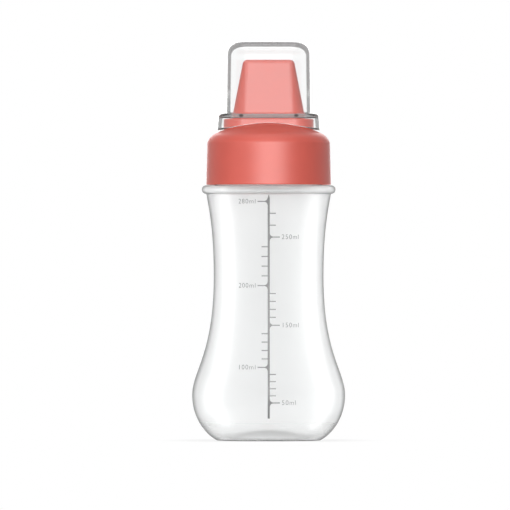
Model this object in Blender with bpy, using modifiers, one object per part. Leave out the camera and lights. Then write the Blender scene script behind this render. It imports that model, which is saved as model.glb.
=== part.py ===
"""Squeeze sauce bottle: translucent bottle, screw collar, wedge nozzle, sealing ring and dust cover.

Units are metres, +Z is up, and the origin is the centre of the bottle's base. The front faces -Y.
"""
from math import acos, asin, atan2, cos, hypot, pi, radians, sin, sqrt

import bmesh
import bpy
from mathutils import Vector

# Fineness of the round shapes
ROUND_STEPS = 48
OBLONG_END_STEPS = 14
SIDE_STEPS = 10
FOOT_STEPS = 8
SHOULDER_STEPS = 6
BEAD_STEPS = 7
DOME_STEPS = 5
EDGE_STEPS = 4
BLEND_STEPS = 2
OUTLET_STEPS = 16
SMOOTH_ANGLE = radians(35)
MERGE_DISTANCE = 0.00001

# Colours as linear values
MILK_WHITE = (0.84, 0.84, 0.83)
CORAL = (0.74, 0.16, 0.13)
SILICONE_WHITE = (0.78, 0.78, 0.76)
CLEAR = (0.97, 0.98, 0.98)

# Gap kept between pieces that rest on one another
SEAT_GAP = 0.0003

# Stations of the bottle's side: foot, belly, waist and shoulder
WALL = 0.0011
FOOT_RADIUS = 0.0246
FOOT_RING_WIDTH = 0.0034
PUNT_RISE = 0.0044
BELLY_RADIUS = 0.0365
BELLY_HEIGHT = 0.02175
WAIST_RADIUS = 0.0261
WAIST_HEIGHT = 0.0779
SHOULDER_RADIUS = 0.0295
SHOULDER_HEIGHT = 0.1168
FOOT_ANGLE = radians(26)
SHOULDER_ANGLE = radians(7.6)

# Pull of the side's smooth curve at each station, as a share of the height to the next one
FOOT_PULL = 0.193
BELLY_LOWER_PULL = 0.584
BELLY_UPPER_PULL = 0.198
WAIST_LOWER_PULL = 0.654
WAIST_UPPER_PULL = 0.622
SHOULDER_PULL = 0.129

# Bead under the cap, the shelf that the collar screws down to, and the neck
BEAD_SECTION_RADIUS = 0.002
BEAD_STAND_OUT = 0.00235
BEAD_BLEND = 0.0008
SHELF_WIDTH = 0.0041
NECK_LENGTH = 0.0173
NECK_BLEND = 0.0006
RIM_EDGE = 0.00025

# Right-hand screw thread between neck and collar
THREAD_PITCH = 0.005
NECK_THREAD_TURNS = 1.5
COLLAR_THREAD_TURNS = 1.25
COLLAR_THREAD_MARGIN = 0.0006
THREAD_HEIGHT = 0.0011
THREAD_ROOT_WIDTH = 0.0022
THREAD_CREST_WIDTH = 0.001
THREAD_FADE_TURNS = 0.1
THREAD_END_SHARE = 0.05
THREAD_BITE = 0.0004
THREAD_BORE_CLEARANCE = 0.0006
THREAD_NECK_CLEARANCE = 0.0005
THREAD_FLANK_CLEARANCE = 0.0004

# Screw collar
COLLAR_WALL = 0.0026
COLLAR_DRAFT = radians(1.4)
COLLAR_EDGE = 0.0004
SIDE_BELOW_CEILING = 0.0012
SHOULDER_ARC = 0.00775
DOME_RADIUS = 0.058
DOME_THICKNESS = 0.002
DOME_CREASE = radians(20)
CEILING_WIDTH = 0.0035
CEILING_CHAMFER = 0.0011

# Sealing ring
RING_THICKNESS = 0.0016
RING_INSIDE_OVERLAP = 0.0014
RING_OUTSIDE_MARGIN = 0.0002
RING_EDGE = 0.0002

# Nozzle insert: round flange, oblong boss, hollow wedge and its row of outlets
FLANGE_THICKNESS = 0.0018
FLANGE_THREAD_CLEARANCE = 0.0009
BOSS_HALF_FLAT = 0.0112
BOSS_END_RADIUS = 0.01025
BOSS_OVER_DOME = 0.00106
BOSS_EDGE = 0.0004
BOSS_WALL = 0.0018
WINDOW_CLEARANCE = 0.0003
WEDGE_HEIGHT = 0.0283
WEDGE_BASE_HALF_FLAT = 0.0098
WEDGE_BASE_END_RADIUS = 0.0076
WEDGE_TOP_HALF_FLAT = 0.00905
WEDGE_TOP_END_RADIUS = 0.003
WEDGE_TOP_EDGE = 0.002
WEDGE_ROOT_BLEND = 0.0005
WEDGE_WALL = 0.0015
WEDGE_TOP_WALL = 0.0016
FUNNEL_HEIGHT = 0.0036
OUTLET_COUNT = 5
OUTLET_DIAMETER = 0.002
OUTLET_END_MARGIN = 0.00245

# Dust cover: oblong tube, flange plate and skirt
TUBE_CLEARANCE = 0.00115
TUBE_WALL = 0.0015
TUBE_TOP_WALL = 0.0021
TUBE_TOP_EDGE = 0.0059
TUBE_DRAFT = radians(0.75)
TUBE_HEAD_ROOM = 0.00654
PLATE_THICKNESS = 0.0025
SKIRT_CLEARANCE = 0.00095
SKIRT_WALL = 0.0016
SKIRT_DRAFT = radians(2)
SKIRT_EDGE = 0.0019
SKIRT_FRONT_GAP = 0.0007
SKIRT_END_GAP = 0.0017

# Radii that follow from the sizes above
PUNT_RADIUS = FOOT_RADIUS - FOOT_RING_WIDTH
NECK_RADIUS = SHOULDER_RADIUS - SHELF_WIDTH
NECK_THREAD_CREST = NECK_RADIUS + THREAD_HEIGHT
COLLAR_BORE = NECK_THREAD_CREST + THREAD_BORE_CLEARANCE
COLLAR_RADIUS = COLLAR_BORE + COLLAR_WALL
COLLAR_THREAD_CREST = NECK_RADIUS + THREAD_NECK_CLEARANCE
FLANGE_RADIUS = COLLAR_THREAD_CREST - FLANGE_THREAD_CLEARANCE
SKIRT_RADIUS = BOSS_END_RADIUS + SKIRT_CLEARANCE + SKIRT_WALL

# The bead's round section, and the small round blend between it and the bottle's side
BEAD_CENTRE_RADIUS = SHOULDER_RADIUS + BEAD_STAND_OUT - BEAD_SECTION_RADIUS
BLEND_CENTRE_RADIUS = SHOULDER_RADIUS + BEAD_BLEND * cos(SHOULDER_ANGLE)
BLEND_CENTRE_HEIGHT = SHOULDER_HEIGHT - BEAD_BLEND * sin(SHOULDER_ANGLE)
BEAD_RISE = sqrt((BEAD_SECTION_RADIUS + BEAD_BLEND) ** 2 - (BEAD_CENTRE_RADIUS - BLEND_CENTRE_RADIUS) ** 2)

# Heights, stacked up from the base
BEAD_HEIGHT = BLEND_CENTRE_HEIGHT + BEAD_RISE
SHELF_HEIGHT = BEAD_HEIGHT + BEAD_SECTION_RADIUS
RIM_HEIGHT = SHELF_HEIGHT + NECK_LENGTH
COLLAR_BASE = SHELF_HEIGHT + SEAT_GAP
RING_BASE = RIM_HEIGHT + SEAT_GAP
FLANGE_BASE = RING_BASE + RING_THICKNESS + SEAT_GAP
CEILING_HEIGHT = FLANGE_BASE + FLANGE_THICKNESS + SEAT_GAP

# The collar's shoulder arc starts at the top of its side and ends tangent to its dome
SIDE_TOP_HEIGHT = CEILING_HEIGHT - SIDE_BELOW_CEILING
SIDE_TOP_RADIUS = COLLAR_RADIUS - (SIDE_TOP_HEIGHT - COLLAR_BASE) * sin(COLLAR_DRAFT)
ARC_CENTRE_RADIUS = SIDE_TOP_RADIUS - SHOULDER_ARC * cos(DOME_CREASE)
ARC_CENTRE_HEIGHT = SIDE_TOP_HEIGHT - SHOULDER_ARC * sin(DOME_CREASE)
ARC_END = acos(ARC_CENTRE_RADIUS / (DOME_RADIUS - SHOULDER_ARC))
DOME_CENTRE_HEIGHT = ARC_CENTRE_HEIGHT - (DOME_RADIUS - SHOULDER_ARC) * sin(ARC_END)

# Heights above the collar
BOSS_TOP = DOME_CENTRE_HEIGHT + DOME_RADIUS + BOSS_OVER_DOME
COVER_BASE = BOSS_TOP + SEAT_GAP
COVER_TOP = BOSS_TOP + WEDGE_HEIGHT + TUBE_HEAD_ROOM + TUBE_TOP_WALL

# Starts of the two thread ridges: the collar's lies under the neck's, a flank's clearance from it
COLLAR_THREAD_START = COLLAR_BASE + COLLAR_THREAD_MARGIN + THREAD_ROOT_WIDTH / 2
THREAD_MEAN_WIDTH = (THREAD_ROOT_WIDTH + THREAD_CREST_WIDTH) / 2
NECK_THREAD_START = COLLAR_THREAD_START + THREAD_MEAN_WIDTH + THREAD_FLANK_CLEARANCE


def empty_scene():
    """Remove every object that the file opened with."""
    for obj in list(bpy.data.objects):
        bpy.data.objects.remove(obj, do_unlink=True)


def new_collection(name):
    collection = bpy.data.collections.new(name)
    bpy.context.scene.collection.children.link(collection)
    return collection


def plastic(name, colour, roughness, transmission=0.0, ior=1.49):
    """A moulded plastic with its colour, clear or opaque."""
    material = bpy.data.materials.new(name)
    material.use_nodes = True
    shader = material.node_tree.nodes["Principled BSDF"]
    shader.inputs["Base Color"].default_value = (*colour, 1.0)
    shader.inputs["Roughness"].default_value = roughness
    shader.inputs["Metallic"].default_value = 0.0
    shader.inputs["Transmission Weight"].default_value = transmission
    shader.inputs["IOR"].default_value = ior
    return material


def height_of(obj):
    """Height of an object on the bottle's axis, summed over its parents."""
    return obj.location.z + height_of(obj.parent) if obj else 0.0


def place(obj, height, parent=None):
    """Stand an object on the bottle's axis at a height, on its parent empty if it moves."""
    obj.parent = parent
    obj.location = (0, 0, height - height_of(parent))
    return obj


def empty(name, height, collection, parent=None):
    """An empty on the bottle's axis, which a moving piece rides on."""
    obj = bpy.data.objects.new(name, None)
    obj.empty_display_size = SHOULDER_RADIUS
    collection.objects.link(obj)
    return place(obj, height, parent)


def arc(centre, radius, start, end, steps):
    """Points of an arc in the (radius, height) plane, with angles in radians."""
    points = []
    for step in range(steps + 1):
        angle = start + (end - start) * step / steps
        points.append((centre[0] + radius * cos(angle), centre[1] + radius * sin(angle)))
    return points


def bezier(start, start_handle, end_handle, end, steps):
    """Points of a cubic curve after its start point."""
    corners = (start, start_handle, end_handle, end)
    points = []
    for step in range(1, steps + 1):
        t = step / steps
        weights = ((1 - t) ** 3, 3 * t * (1 - t) ** 2, 3 * t ** 2 * (1 - t), t ** 3)
        points.append(tuple(sum(w * c[axis] for w, c in zip(weights, corners)) for axis in range(2)))
    return points


def turned(name, outline, collection, closed=False):
    """Turn an outline of (radius, height) points, listed down its outer side, about Z."""
    mesh = bpy.data.meshes.new(name)
    edges = [(index, index + 1) for index in range(len(outline) - 1)]
    if closed:
        edges.append((len(outline) - 1, 0))
    mesh.from_pydata([(radius, 0, height) for radius, height in outline], edges, [])
    obj = bpy.data.objects.new(name, mesh)
    collection.objects.link(obj)
    screw = obj.modifiers.new("turn", "SCREW")
    screw.axis = "Z"
    screw.angle = 2 * pi
    screw.steps = ROUND_STEPS
    screw.render_steps = ROUND_STEPS
    screw.use_merge_vertices = True
    screw.merge_threshold = MERGE_DISTANCE
    screw.use_smooth_shade = True
    return obj


def object_from(bm, name, collection):
    """Make a smooth-shaded object of a finished bmesh."""
    mesh = bpy.data.meshes.new(name)
    bm.to_mesh(mesh)
    bm.free()
    mesh.shade_smooth()
    mesh.set_sharp_from_angle(angle=SMOOTH_ANGLE)
    obj = bpy.data.objects.new(name, mesh)
    collection.objects.link(obj)
    return obj


def loft(name, rings, collection):
    """A closed solid through rings of points that all have as many points."""
    bm = bmesh.new()
    rows = [[bm.verts.new(point) for point in ring] for ring in rings]
    for lower, upper in zip(rows, rows[1:]):
        for index in range(len(lower)):
            following = (index + 1) % len(lower)
            bm.faces.new((lower[index], lower[following], upper[following], upper[index]))
    bm.faces.new(list(reversed(rows[0])))
    bm.faces.new(rows[-1])
    bmesh.ops.recalc_face_normals(bm, faces=bm.faces[:])
    return object_from(bm, name, collection)


def oblong_ring(half_flat, end_radius, height):
    """The points of an oblong: two half circles, and flats that join them front and back."""
    points = []
    for side in (1, -1):
        for step in range(OBLONG_END_STEPS + 1):
            angle = pi * (step / OBLONG_END_STEPS - 0.5)
            along = side * (half_flat + end_radius * cos(angle))
            points.append(Vector((along, side * end_radius * sin(angle), height)))
    return points


def oblong(name, sections, collection):
    """A solid through oblong sections, each given as (half flat, end radius, height)."""
    return loft(name, [oblong_ring(*section) for section in sections], collection)


def cylinder(name, radius, bottom, top, collection, x=0.0, steps=ROUND_STEPS):
    """A cylinder primitive along Z between two heights."""
    bm = bmesh.new()
    bmesh.ops.create_cone(bm, cap_ends=True, segments=steps, radius1=radius, radius2=radius,
                          depth=top - bottom)
    bmesh.ops.translate(bm, verts=bm.verts, vec=(x, 0, (top + bottom) / 2))
    return object_from(bm, name, collection)


def boolean(obj, other, operation):
    """Join or cut an object with another, which stays in the file as a hidden guide."""
    other.parent = obj.parent
    other.location = obj.location
    other.hide_render = True
    other.display_type = "WIRE"
    modifier = obj.modifiers.new(other.name, "BOOLEAN")
    modifier.operation = operation
    modifier.object = other


def thread_ridge(name, wall_radius, crest_radius, start_height, turns, collection):
    """A helical ridge on a round wall, inside or outside it, that fades into the wall at both ends."""
    root_radius = wall_radius - THREAD_BITE if crest_radius > wall_radius else wall_radius + THREAD_BITE
    steps = round(ROUND_STEPS * turns)
    rings = []
    for step in range(steps + 1):
        turn = turns * step / steps
        share = min(1.0, THREAD_END_SHARE + min(turn, turns - turn) / THREAD_FADE_TURNS)
        faded_radius = wall_radius + (crest_radius - wall_radius) * share
        height = start_height + THREAD_PITCH * turn
        angle = 2 * pi * turn
        ring = []
        for radius, offset in ((root_radius, -THREAD_ROOT_WIDTH / 2), (faded_radius, -THREAD_CREST_WIDTH / 2),
                               (faded_radius, THREAD_CREST_WIDTH / 2), (root_radius, THREAD_ROOT_WIDTH / 2)):
            ring.append(Vector((radius * cos(angle), radius * sin(angle), height + offset)))
        rings.append(ring)
    return loft(name, rings, collection)


def bottle_outline():
    """The bottle's outside, from the middle of its base up to the rim of its mouth."""
    punt_curve = (PUNT_RADIUS ** 2 + PUNT_RISE ** 2) / (2 * PUNT_RISE)
    punt_angle = asin(PUNT_RADIUS / punt_curve)
    points = arc((0, PUNT_RISE - punt_curve), punt_curve, pi / 2, pi / 2 - punt_angle, EDGE_STEPS)
    foot = (FOOT_RADIUS, 0)
    belly = (BELLY_RADIUS, BELLY_HEIGHT)
    waist = (WAIST_RADIUS, WAIST_HEIGHT)
    shoulder = (SHOULDER_RADIUS, SHOULDER_HEIGHT)
    lower_span = WAIST_HEIGHT - BELLY_HEIGHT
    upper_span = SHOULDER_HEIGHT - WAIST_HEIGHT
    points.append(foot)
    points += bezier(foot,
                     (FOOT_RADIUS + FOOT_PULL * BELLY_HEIGHT * cos(FOOT_ANGLE),
                      FOOT_PULL * BELLY_HEIGHT * sin(FOOT_ANGLE)),
                     (BELLY_RADIUS, BELLY_HEIGHT - BELLY_LOWER_PULL * BELLY_HEIGHT),
                     belly, FOOT_STEPS)
    points += bezier(belly,
                     (BELLY_RADIUS, BELLY_HEIGHT + BELLY_UPPER_PULL * lower_span),
                     (WAIST_RADIUS, WAIST_HEIGHT - WAIST_LOWER_PULL * lower_span),
                     waist, SIDE_STEPS)
    points += bezier(waist,
                     (WAIST_RADIUS, WAIST_HEIGHT + WAIST_UPPER_PULL * upper_span),
                     (SHOULDER_RADIUS - SHOULDER_PULL * upper_span * sin(SHOULDER_ANGLE),
                      SHOULDER_HEIGHT - SHOULDER_PULL * upper_span * cos(SHOULDER_ANGLE)),
                     shoulder, SHOULDER_STEPS)
    touch = atan2(BEAD_RISE, BEAD_CENTRE_RADIUS - BLEND_CENTRE_RADIUS)
    points += arc((BLEND_CENTRE_RADIUS, BLEND_CENTRE_HEIGHT), BEAD_BLEND, pi - SHOULDER_ANGLE, touch,
                  BLEND_STEPS)[1:]
    points += arc((BEAD_CENTRE_RADIUS, BEAD_HEIGHT), BEAD_SECTION_RADIUS, touch - pi, pi / 2, BEAD_STEPS)[1:]
    points += arc((NECK_RADIUS + NECK_BLEND, SHELF_HEIGHT + NECK_BLEND), NECK_BLEND, -pi / 2, -pi,
                  BLEND_STEPS)
    points.append((NECK_RADIUS, RIM_HEIGHT))
    return points


def make_bottle(collection, cutters):
    bottle = turned("bottle", list(reversed(bottle_outline())), collection)
    wall = bottle.modifiers.new("wall", "SOLIDIFY")
    wall.thickness = WALL
    wall.offset = -1
    wall.use_even_offset = True
    rim = bottle.modifiers.new("rim", "BEVEL")
    rim.width = RIM_EDGE
    rim.segments = 1
    rim.limit_method = "ANGLE"
    rim.angle_limit = radians(60)
    boolean(bottle, thread_ridge("neck_thread", NECK_RADIUS, NECK_THREAD_CREST, NECK_THREAD_START,
                                 NECK_THREAD_TURNS, cutters), "UNION")
    bottle.data.materials.append(plastic("translucent_bottle", MILK_WHITE, 0.35, 0.7))


def collar_outline():
    """The collar's section before its window is cut, heights from its lower edge, down the outside."""
    dome_centre = (0, DOME_CENTRE_HEIGHT - COLLAR_BASE)
    arc_centre = (ARC_CENTRE_RADIUS, ARC_CENTRE_HEIGHT - COLLAR_BASE)
    ceiling = CEILING_HEIGHT - COLLAR_BASE
    underside = DOME_RADIUS - DOME_THICKNESS
    step_radius = COLLAR_BORE - CEILING_WIDTH
    points = arc(dome_centre, DOME_RADIUS, pi / 2, ARC_END, DOME_STEPS)
    points += arc(arc_centre, SHOULDER_ARC, ARC_END, DOME_CREASE, DOME_STEPS)[1:]
    points.append((COLLAR_RADIUS, COLLAR_EDGE))
    points.append((COLLAR_RADIUS - COLLAR_EDGE, 0))
    points.append((COLLAR_BORE, 0))
    points.append((COLLAR_BORE, ceiling - CEILING_CHAMFER))
    points.append((COLLAR_BORE - CEILING_CHAMFER, ceiling))
    points.append((step_radius, ceiling))
    points += arc(dome_centre, underside, acos(step_radius / underside), pi / 2, EDGE_STEPS)
    return points


def make_screw_collar(collection, cutters, parent):
    collar = place(turned("screw_collar", collar_outline(), collection), COLLAR_BASE, parent)
    window_radius = BOSS_END_RADIUS + WINDOW_CLEARANCE
    window = [(BOSS_HALF_FLAT, window_radius, height - COLLAR_BASE) for height in (FLANGE_BASE, COVER_TOP)]
    boolean(collar, oblong("collar_window", window, cutters), "DIFFERENCE")
    boolean(collar, thread_ridge("collar_thread", COLLAR_BORE, COLLAR_THREAD_CREST,
                                 COLLAR_THREAD_START - COLLAR_BASE, COLLAR_THREAD_TURNS, cutters), "UNION")
    collar.data.materials.append(plastic("coral_collar", CORAL, 0.38))


def make_sealing_ring(collection, parent):
    outer = NECK_RADIUS - RING_OUTSIDE_MARGIN
    inner = NECK_RADIUS - WALL - RING_INSIDE_OVERLAP
    section = [(outer - RING_EDGE, RING_THICKNESS), (outer, RING_THICKNESS - RING_EDGE), (outer, RING_EDGE),
               (outer - RING_EDGE, 0), (inner + RING_EDGE, 0), (inner, RING_EDGE),
               (inner, RING_THICKNESS - RING_EDGE), (inner + RING_EDGE, RING_THICKNESS)]
    ring = place(turned("sealing_ring", section, collection, closed=True), RING_BASE, parent)
    ring.data.materials.append(plastic("silicone", SILICONE_WHITE, 0.5))


def wedge_section(height, inset=0.0):
    """The wedge's (half flat, end radius) at a height above the boss, moved in by a wall."""
    share = height / WEDGE_HEIGHT
    half_flat = WEDGE_BASE_HALF_FLAT + (WEDGE_TOP_HALF_FLAT - WEDGE_BASE_HALF_FLAT) * share
    end_radius = WEDGE_BASE_END_RADIUS + (WEDGE_TOP_END_RADIUS - WEDGE_BASE_END_RADIUS) * share
    return half_flat, end_radius - inset


def nozzle_sections(boss_top):
    """The outside of boss and wedge, heights from the flange's underside."""
    sections = [(BOSS_HALF_FLAT, BOSS_END_RADIUS, FLANGE_THICKNESS / 2),
                (BOSS_HALF_FLAT, BOSS_END_RADIUS, boss_top - BOSS_EDGE),
                (BOSS_HALF_FLAT, BOSS_END_RADIUS - BOSS_EDGE, boss_top)]
    half_flat, end_radius = wedge_section(0)
    sections.append((half_flat, end_radius + WEDGE_ROOT_BLEND, boss_top))
    half_flat, end_radius = wedge_section(WEDGE_ROOT_BLEND)
    sections.append((half_flat, end_radius, boss_top + WEDGE_ROOT_BLEND))
    for across, up in arc((-WEDGE_TOP_EDGE, -WEDGE_TOP_EDGE), WEDGE_TOP_EDGE, 0, pi / 2, EDGE_STEPS):
        half_flat, end_radius = wedge_section(WEDGE_HEIGHT + up)
        sections.append((half_flat, end_radius + across, boss_top + WEDGE_HEIGHT + up))
    return sections


def make_nozzle(collection, cutters, parent):
    boss_top = BOSS_TOP - FLANGE_BASE
    nozzle = place(oblong("nozzle", nozzle_sections(boss_top), collection), FLANGE_BASE, parent)
    boolean(nozzle, cylinder("nozzle_flange", FLANGE_RADIUS, 0, FLANGE_THICKNESS, cutters), "UNION")

    # The channel is open at the flange, narrows through a funnel and fills the wedge
    tip_height = WEDGE_HEIGHT - WEDGE_TOP_WALL
    tip_half_flat, tip_radius = wedge_section(tip_height, WEDGE_WALL)
    throat_half_flat, throat_radius = wedge_section(0, WEDGE_WALL)
    hollow_radius = BOSS_END_RADIUS - BOSS_WALL
    boolean(nozzle, oblong("nozzle_hollow", [(BOSS_HALF_FLAT, hollow_radius, -FLANGE_THICKNESS),
                                             (BOSS_HALF_FLAT, hollow_radius, boss_top - FUNNEL_HEIGHT),
                                             (throat_half_flat, throat_radius, boss_top),
                                             (tip_half_flat, tip_radius, boss_top + tip_height)], cutters),
            "DIFFERENCE")

    first_outlet = OUTLET_END_MARGIN - tip_half_flat - tip_radius
    outlet_bottom = boss_top + tip_height - WEDGE_TOP_WALL
    outlet_top = boss_top + WEDGE_HEIGHT + WEDGE_TOP_WALL
    for index in range(OUTLET_COUNT):
        x = first_outlet * (1 - 2 * index / (OUTLET_COUNT - 1))
        outlet = cylinder("outlet_%d" % (index + 1), OUTLET_DIAMETER / 2, outlet_bottom, outlet_top, cutters, x,
                          OUTLET_STEPS)
        boolean(nozzle, outlet, "DIFFERENCE")
    nozzle.data.materials.append(plastic("coral_nozzle", CORAL, 0.38))


def cover_sections():
    """The cover's shell, down its outside and up its inside, heights from the plate's underside."""
    top = COVER_TOP - COVER_BASE
    tube_half_flat = WEDGE_BASE_HALF_FLAT
    tube_foot = WEDGE_BASE_END_RADIUS + TUBE_CLEARANCE + TUBE_WALL
    taper = sin(TUBE_DRAFT)
    tube_head = tube_foot - (top - PLATE_THICKNESS) * taper
    skirt_foot = COLLAR_BASE - COVER_BASE
    skirt_spread = -skirt_foot * sin(SKIRT_DRAFT)
    sections = []
    for across, up in arc((-TUBE_TOP_EDGE, -TUBE_TOP_EDGE), TUBE_TOP_EDGE, pi / 2, 0, EDGE_STEPS + 2):
        sections.append((tube_half_flat, tube_head + across - up * taper, top + up))
    sections.append((tube_half_flat, tube_foot, PLATE_THICKNESS))
    for across, up in arc((-SKIRT_EDGE, -SKIRT_EDGE), SKIRT_EDGE, pi / 2, 0, EDGE_STEPS):
        sections.append((BOSS_HALF_FLAT, SKIRT_RADIUS + across, PLATE_THICKNESS + up))
    sections.append((BOSS_HALF_FLAT, SKIRT_RADIUS + skirt_spread, skirt_foot))
    sections.append((BOSS_HALF_FLAT, SKIRT_RADIUS - SKIRT_WALL + skirt_spread, skirt_foot))
    sections.append((BOSS_HALF_FLAT, SKIRT_RADIUS - SKIRT_WALL, 0))
    sections.append((tube_half_flat, tube_foot - TUBE_WALL, 0))
    inner_edge = TUBE_TOP_EDGE - TUBE_WALL
    ceiling = top - TUBE_TOP_WALL
    for across, up in arc((-inner_edge, -inner_edge), inner_edge, 0, pi / 2, EDGE_STEPS):
        sections.append((tube_half_flat, tube_head - TUBE_WALL + across - up * taper, ceiling + up))
    return sections


def dome_height(radius):
    """Height of the collar's dome above the cover's base, at a distance from the axis."""
    return DOME_CENTRE_HEIGHT + sqrt(DOME_RADIUS ** 2 - radius ** 2) - COVER_BASE


def make_dust_cover(collection, cutters, parent):
    cover = place(oblong("dust_cover", cover_sections(), collection), COVER_BASE, parent)

    # A ball through the skirt's lower edge, at its front and at its ends, cuts it to follow the dome
    reach = SKIRT_RADIUS + BOSS_HALF_FLAT
    front_height = dome_height(SKIRT_RADIUS) + SKIRT_FRONT_GAP
    fall = front_height - dome_height(reach) - SKIRT_END_GAP
    centre_drop = (reach ** 2 - SKIRT_RADIUS ** 2 + fall ** 2) / (2 * fall)
    ball_radius = hypot(SKIRT_RADIUS, centre_drop)
    cap_angle = asin((reach + SKIRT_WALL) / ball_radius)
    cap = arc((0, front_height - centre_drop), ball_radius, pi / 2, pi / 2 - cap_angle, 2 * EDGE_STEPS)
    floor = 2 * (COLLAR_BASE - COVER_BASE)
    cap += [(cap[-1][0], floor), (0, floor)]
    boolean(cover, turned("skirt_scribe", cap, cutters), "DIFFERENCE")
    cover.data.materials.append(plastic("clear_cover", CLEAR, 0.03, 1.0))


def build():
    empty_scene()
    parts = new_collection("squeeze_sauce_bottle")
    cutters = new_collection("cutters")
    cap_lift = empty("cap_lift", RING_BASE, parts)
    cap_turn = empty("cap_turn", COLLAR_BASE, parts, cap_lift)
    cover_lift = empty("cover_lift", COVER_BASE, parts, cap_turn)
    make_bottle(parts, cutters)
    make_sealing_ring(parts, cap_lift)
    make_screw_collar(parts, cutters, cap_turn)
    make_nozzle(parts, cutters, cap_turn)
    make_dust_cover(parts, cutters, cover_lift)


build()
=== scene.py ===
"""Squeeze sauce bottle, its looks: moulded shells, printed scale, finishes, floor, light and camera.

Laid out as an add-on. Each operator models one piece round the solids that the frame holds, in metres, with
+Z up and the front facing -Y.
"""
from collections import namedtuple
from math import acos, asin, atan2, copysign, cos, hypot, pi, radians, sin, sqrt

import bmesh
import bpy
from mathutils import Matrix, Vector


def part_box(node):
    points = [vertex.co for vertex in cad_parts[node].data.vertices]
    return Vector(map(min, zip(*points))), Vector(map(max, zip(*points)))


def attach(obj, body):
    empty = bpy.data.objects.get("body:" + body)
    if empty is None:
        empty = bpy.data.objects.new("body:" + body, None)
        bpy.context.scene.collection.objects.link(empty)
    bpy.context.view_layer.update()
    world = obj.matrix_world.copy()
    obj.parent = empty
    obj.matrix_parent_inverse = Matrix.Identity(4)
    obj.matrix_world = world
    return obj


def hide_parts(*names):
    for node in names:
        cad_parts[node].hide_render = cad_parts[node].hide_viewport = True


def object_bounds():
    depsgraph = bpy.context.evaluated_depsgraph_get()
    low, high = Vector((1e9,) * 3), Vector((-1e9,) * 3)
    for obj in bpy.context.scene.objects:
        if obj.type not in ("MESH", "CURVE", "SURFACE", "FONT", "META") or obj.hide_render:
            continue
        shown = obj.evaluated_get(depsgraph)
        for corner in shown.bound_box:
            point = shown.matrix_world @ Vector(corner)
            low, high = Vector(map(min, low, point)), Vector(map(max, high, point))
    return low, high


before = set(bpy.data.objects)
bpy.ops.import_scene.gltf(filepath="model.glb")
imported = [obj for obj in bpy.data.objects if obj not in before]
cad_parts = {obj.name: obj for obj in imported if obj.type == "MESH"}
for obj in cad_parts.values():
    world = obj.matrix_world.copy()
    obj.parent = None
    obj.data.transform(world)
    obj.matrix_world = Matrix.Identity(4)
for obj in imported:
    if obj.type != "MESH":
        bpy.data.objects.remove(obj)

bl_info = {
    "name": "Squeeze sauce bottle",
    "version": (1, 0, 0),
    "blender": (4, 5, 0),
    "location": "View3D > Sidebar > Sauce bottle",
    "description": "Models a squeeze sauce bottle piece by piece, with its finishes and a studio round it",
    "category": "Object",
}

# The frame's own sizes
CAD_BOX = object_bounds()
BOTTLE_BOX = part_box("bottle")
COLLAR_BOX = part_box("screw_collar")
RING_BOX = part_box("sealing_ring")
NOZZLE_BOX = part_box("nozzle")
COVER_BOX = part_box("dust_cover")

# Steps once round the axis, an oblong and an outlet, and in a thread's faded end
ROUND_STEPS = 128
OBLONG_STEPS = 64
OUTLET_STEPS = 32
FADE_STEPS = 12

# Steps in the curves of the outlines, from large to small
DOME_STEPS = 24
SIDE_STEPS = 22
BEAD_STEPS = 16
SHOULDER_STEPS = 16
UNDERSIDE_STEPS = 12
TUBE_TOP_STEPS = 12
TUBE_CEILING_STEPS = 10
PUNT_STEPS = 10
CORNER_STEPS = 8
CREASE_STEPS = 6
BLEND_STEPS = 5
LIP_STEPS = 4
NUMBER_STEPS = 4
EDGE_STEPS = 3

# Parts that a straight stretch is cut into so that it can bend: the skirt, the scale's line and short marks
SKIRT_CUTS = 16
LINE_CUTS = 72
MARK_CUTS = 4

# Angles over which an edge stays sharp, and is rounded at the mouth's rim
SMOOTH_ANGLE = radians(32)
RIM_ANGLE = radians(60)

# How near a vertex lies to count as on a plane, and on the window's wall and the dome
WELD_DISTANCE = 0.000002
WINDOW_REACH = 0.00006
DOME_REACH = 0.0001

# How far the ends of the side's three curves reach, in shares of each curve's height
FOOT_PULL = 0.193
BELLY_LOWER_PULL = 0.584
BELLY_UPPER_PULL = 0.198
WAIST_LOWER_PULL = 0.654
WAIST_UPPER_PULL = 0.622
SHOULDER_PULL = 0.129

# The pieces that hold the coral colour, with the ring between them
CAP_PIECES = ("coral_collar", "wedge_nozzle", "silicone_ring")

# The camera's sensor in millimetres, and how far it sees in metres
SENSOR_WIDTH = 36.0
CLIP_END = 100.0


def length(name, description, default):
    """A property that holds a length in metres."""
    return bpy.props.FloatProperty(name=name, description=description, default=default, unit="LENGTH",
                                   precision=5)


def angle(name, description, degrees):
    """A property that holds an angle."""
    return bpy.props.FloatProperty(name=name, description=description, default=radians(degrees),
                                   subtype="ANGLE")


def share(name, description, default):
    """A property that holds a share from 0 to 1."""
    return bpy.props.FloatProperty(name=name, description=description, default=default, min=0.0, max=1.0,
                                   subtype="FACTOR")


def amount(name, description, default):
    """A property that holds a plain number, such as a brightness, where 1 is white."""
    return bpy.props.FloatProperty(name=name, description=description, default=default, min=0.0)


def colour(name, description, default):
    """A property that holds a colour as linear values."""
    return bpy.props.FloatVectorProperty(name=name, description=description, default=default, size=3, min=0.0,
                                         max=1.0, subtype="COLOR")


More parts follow.
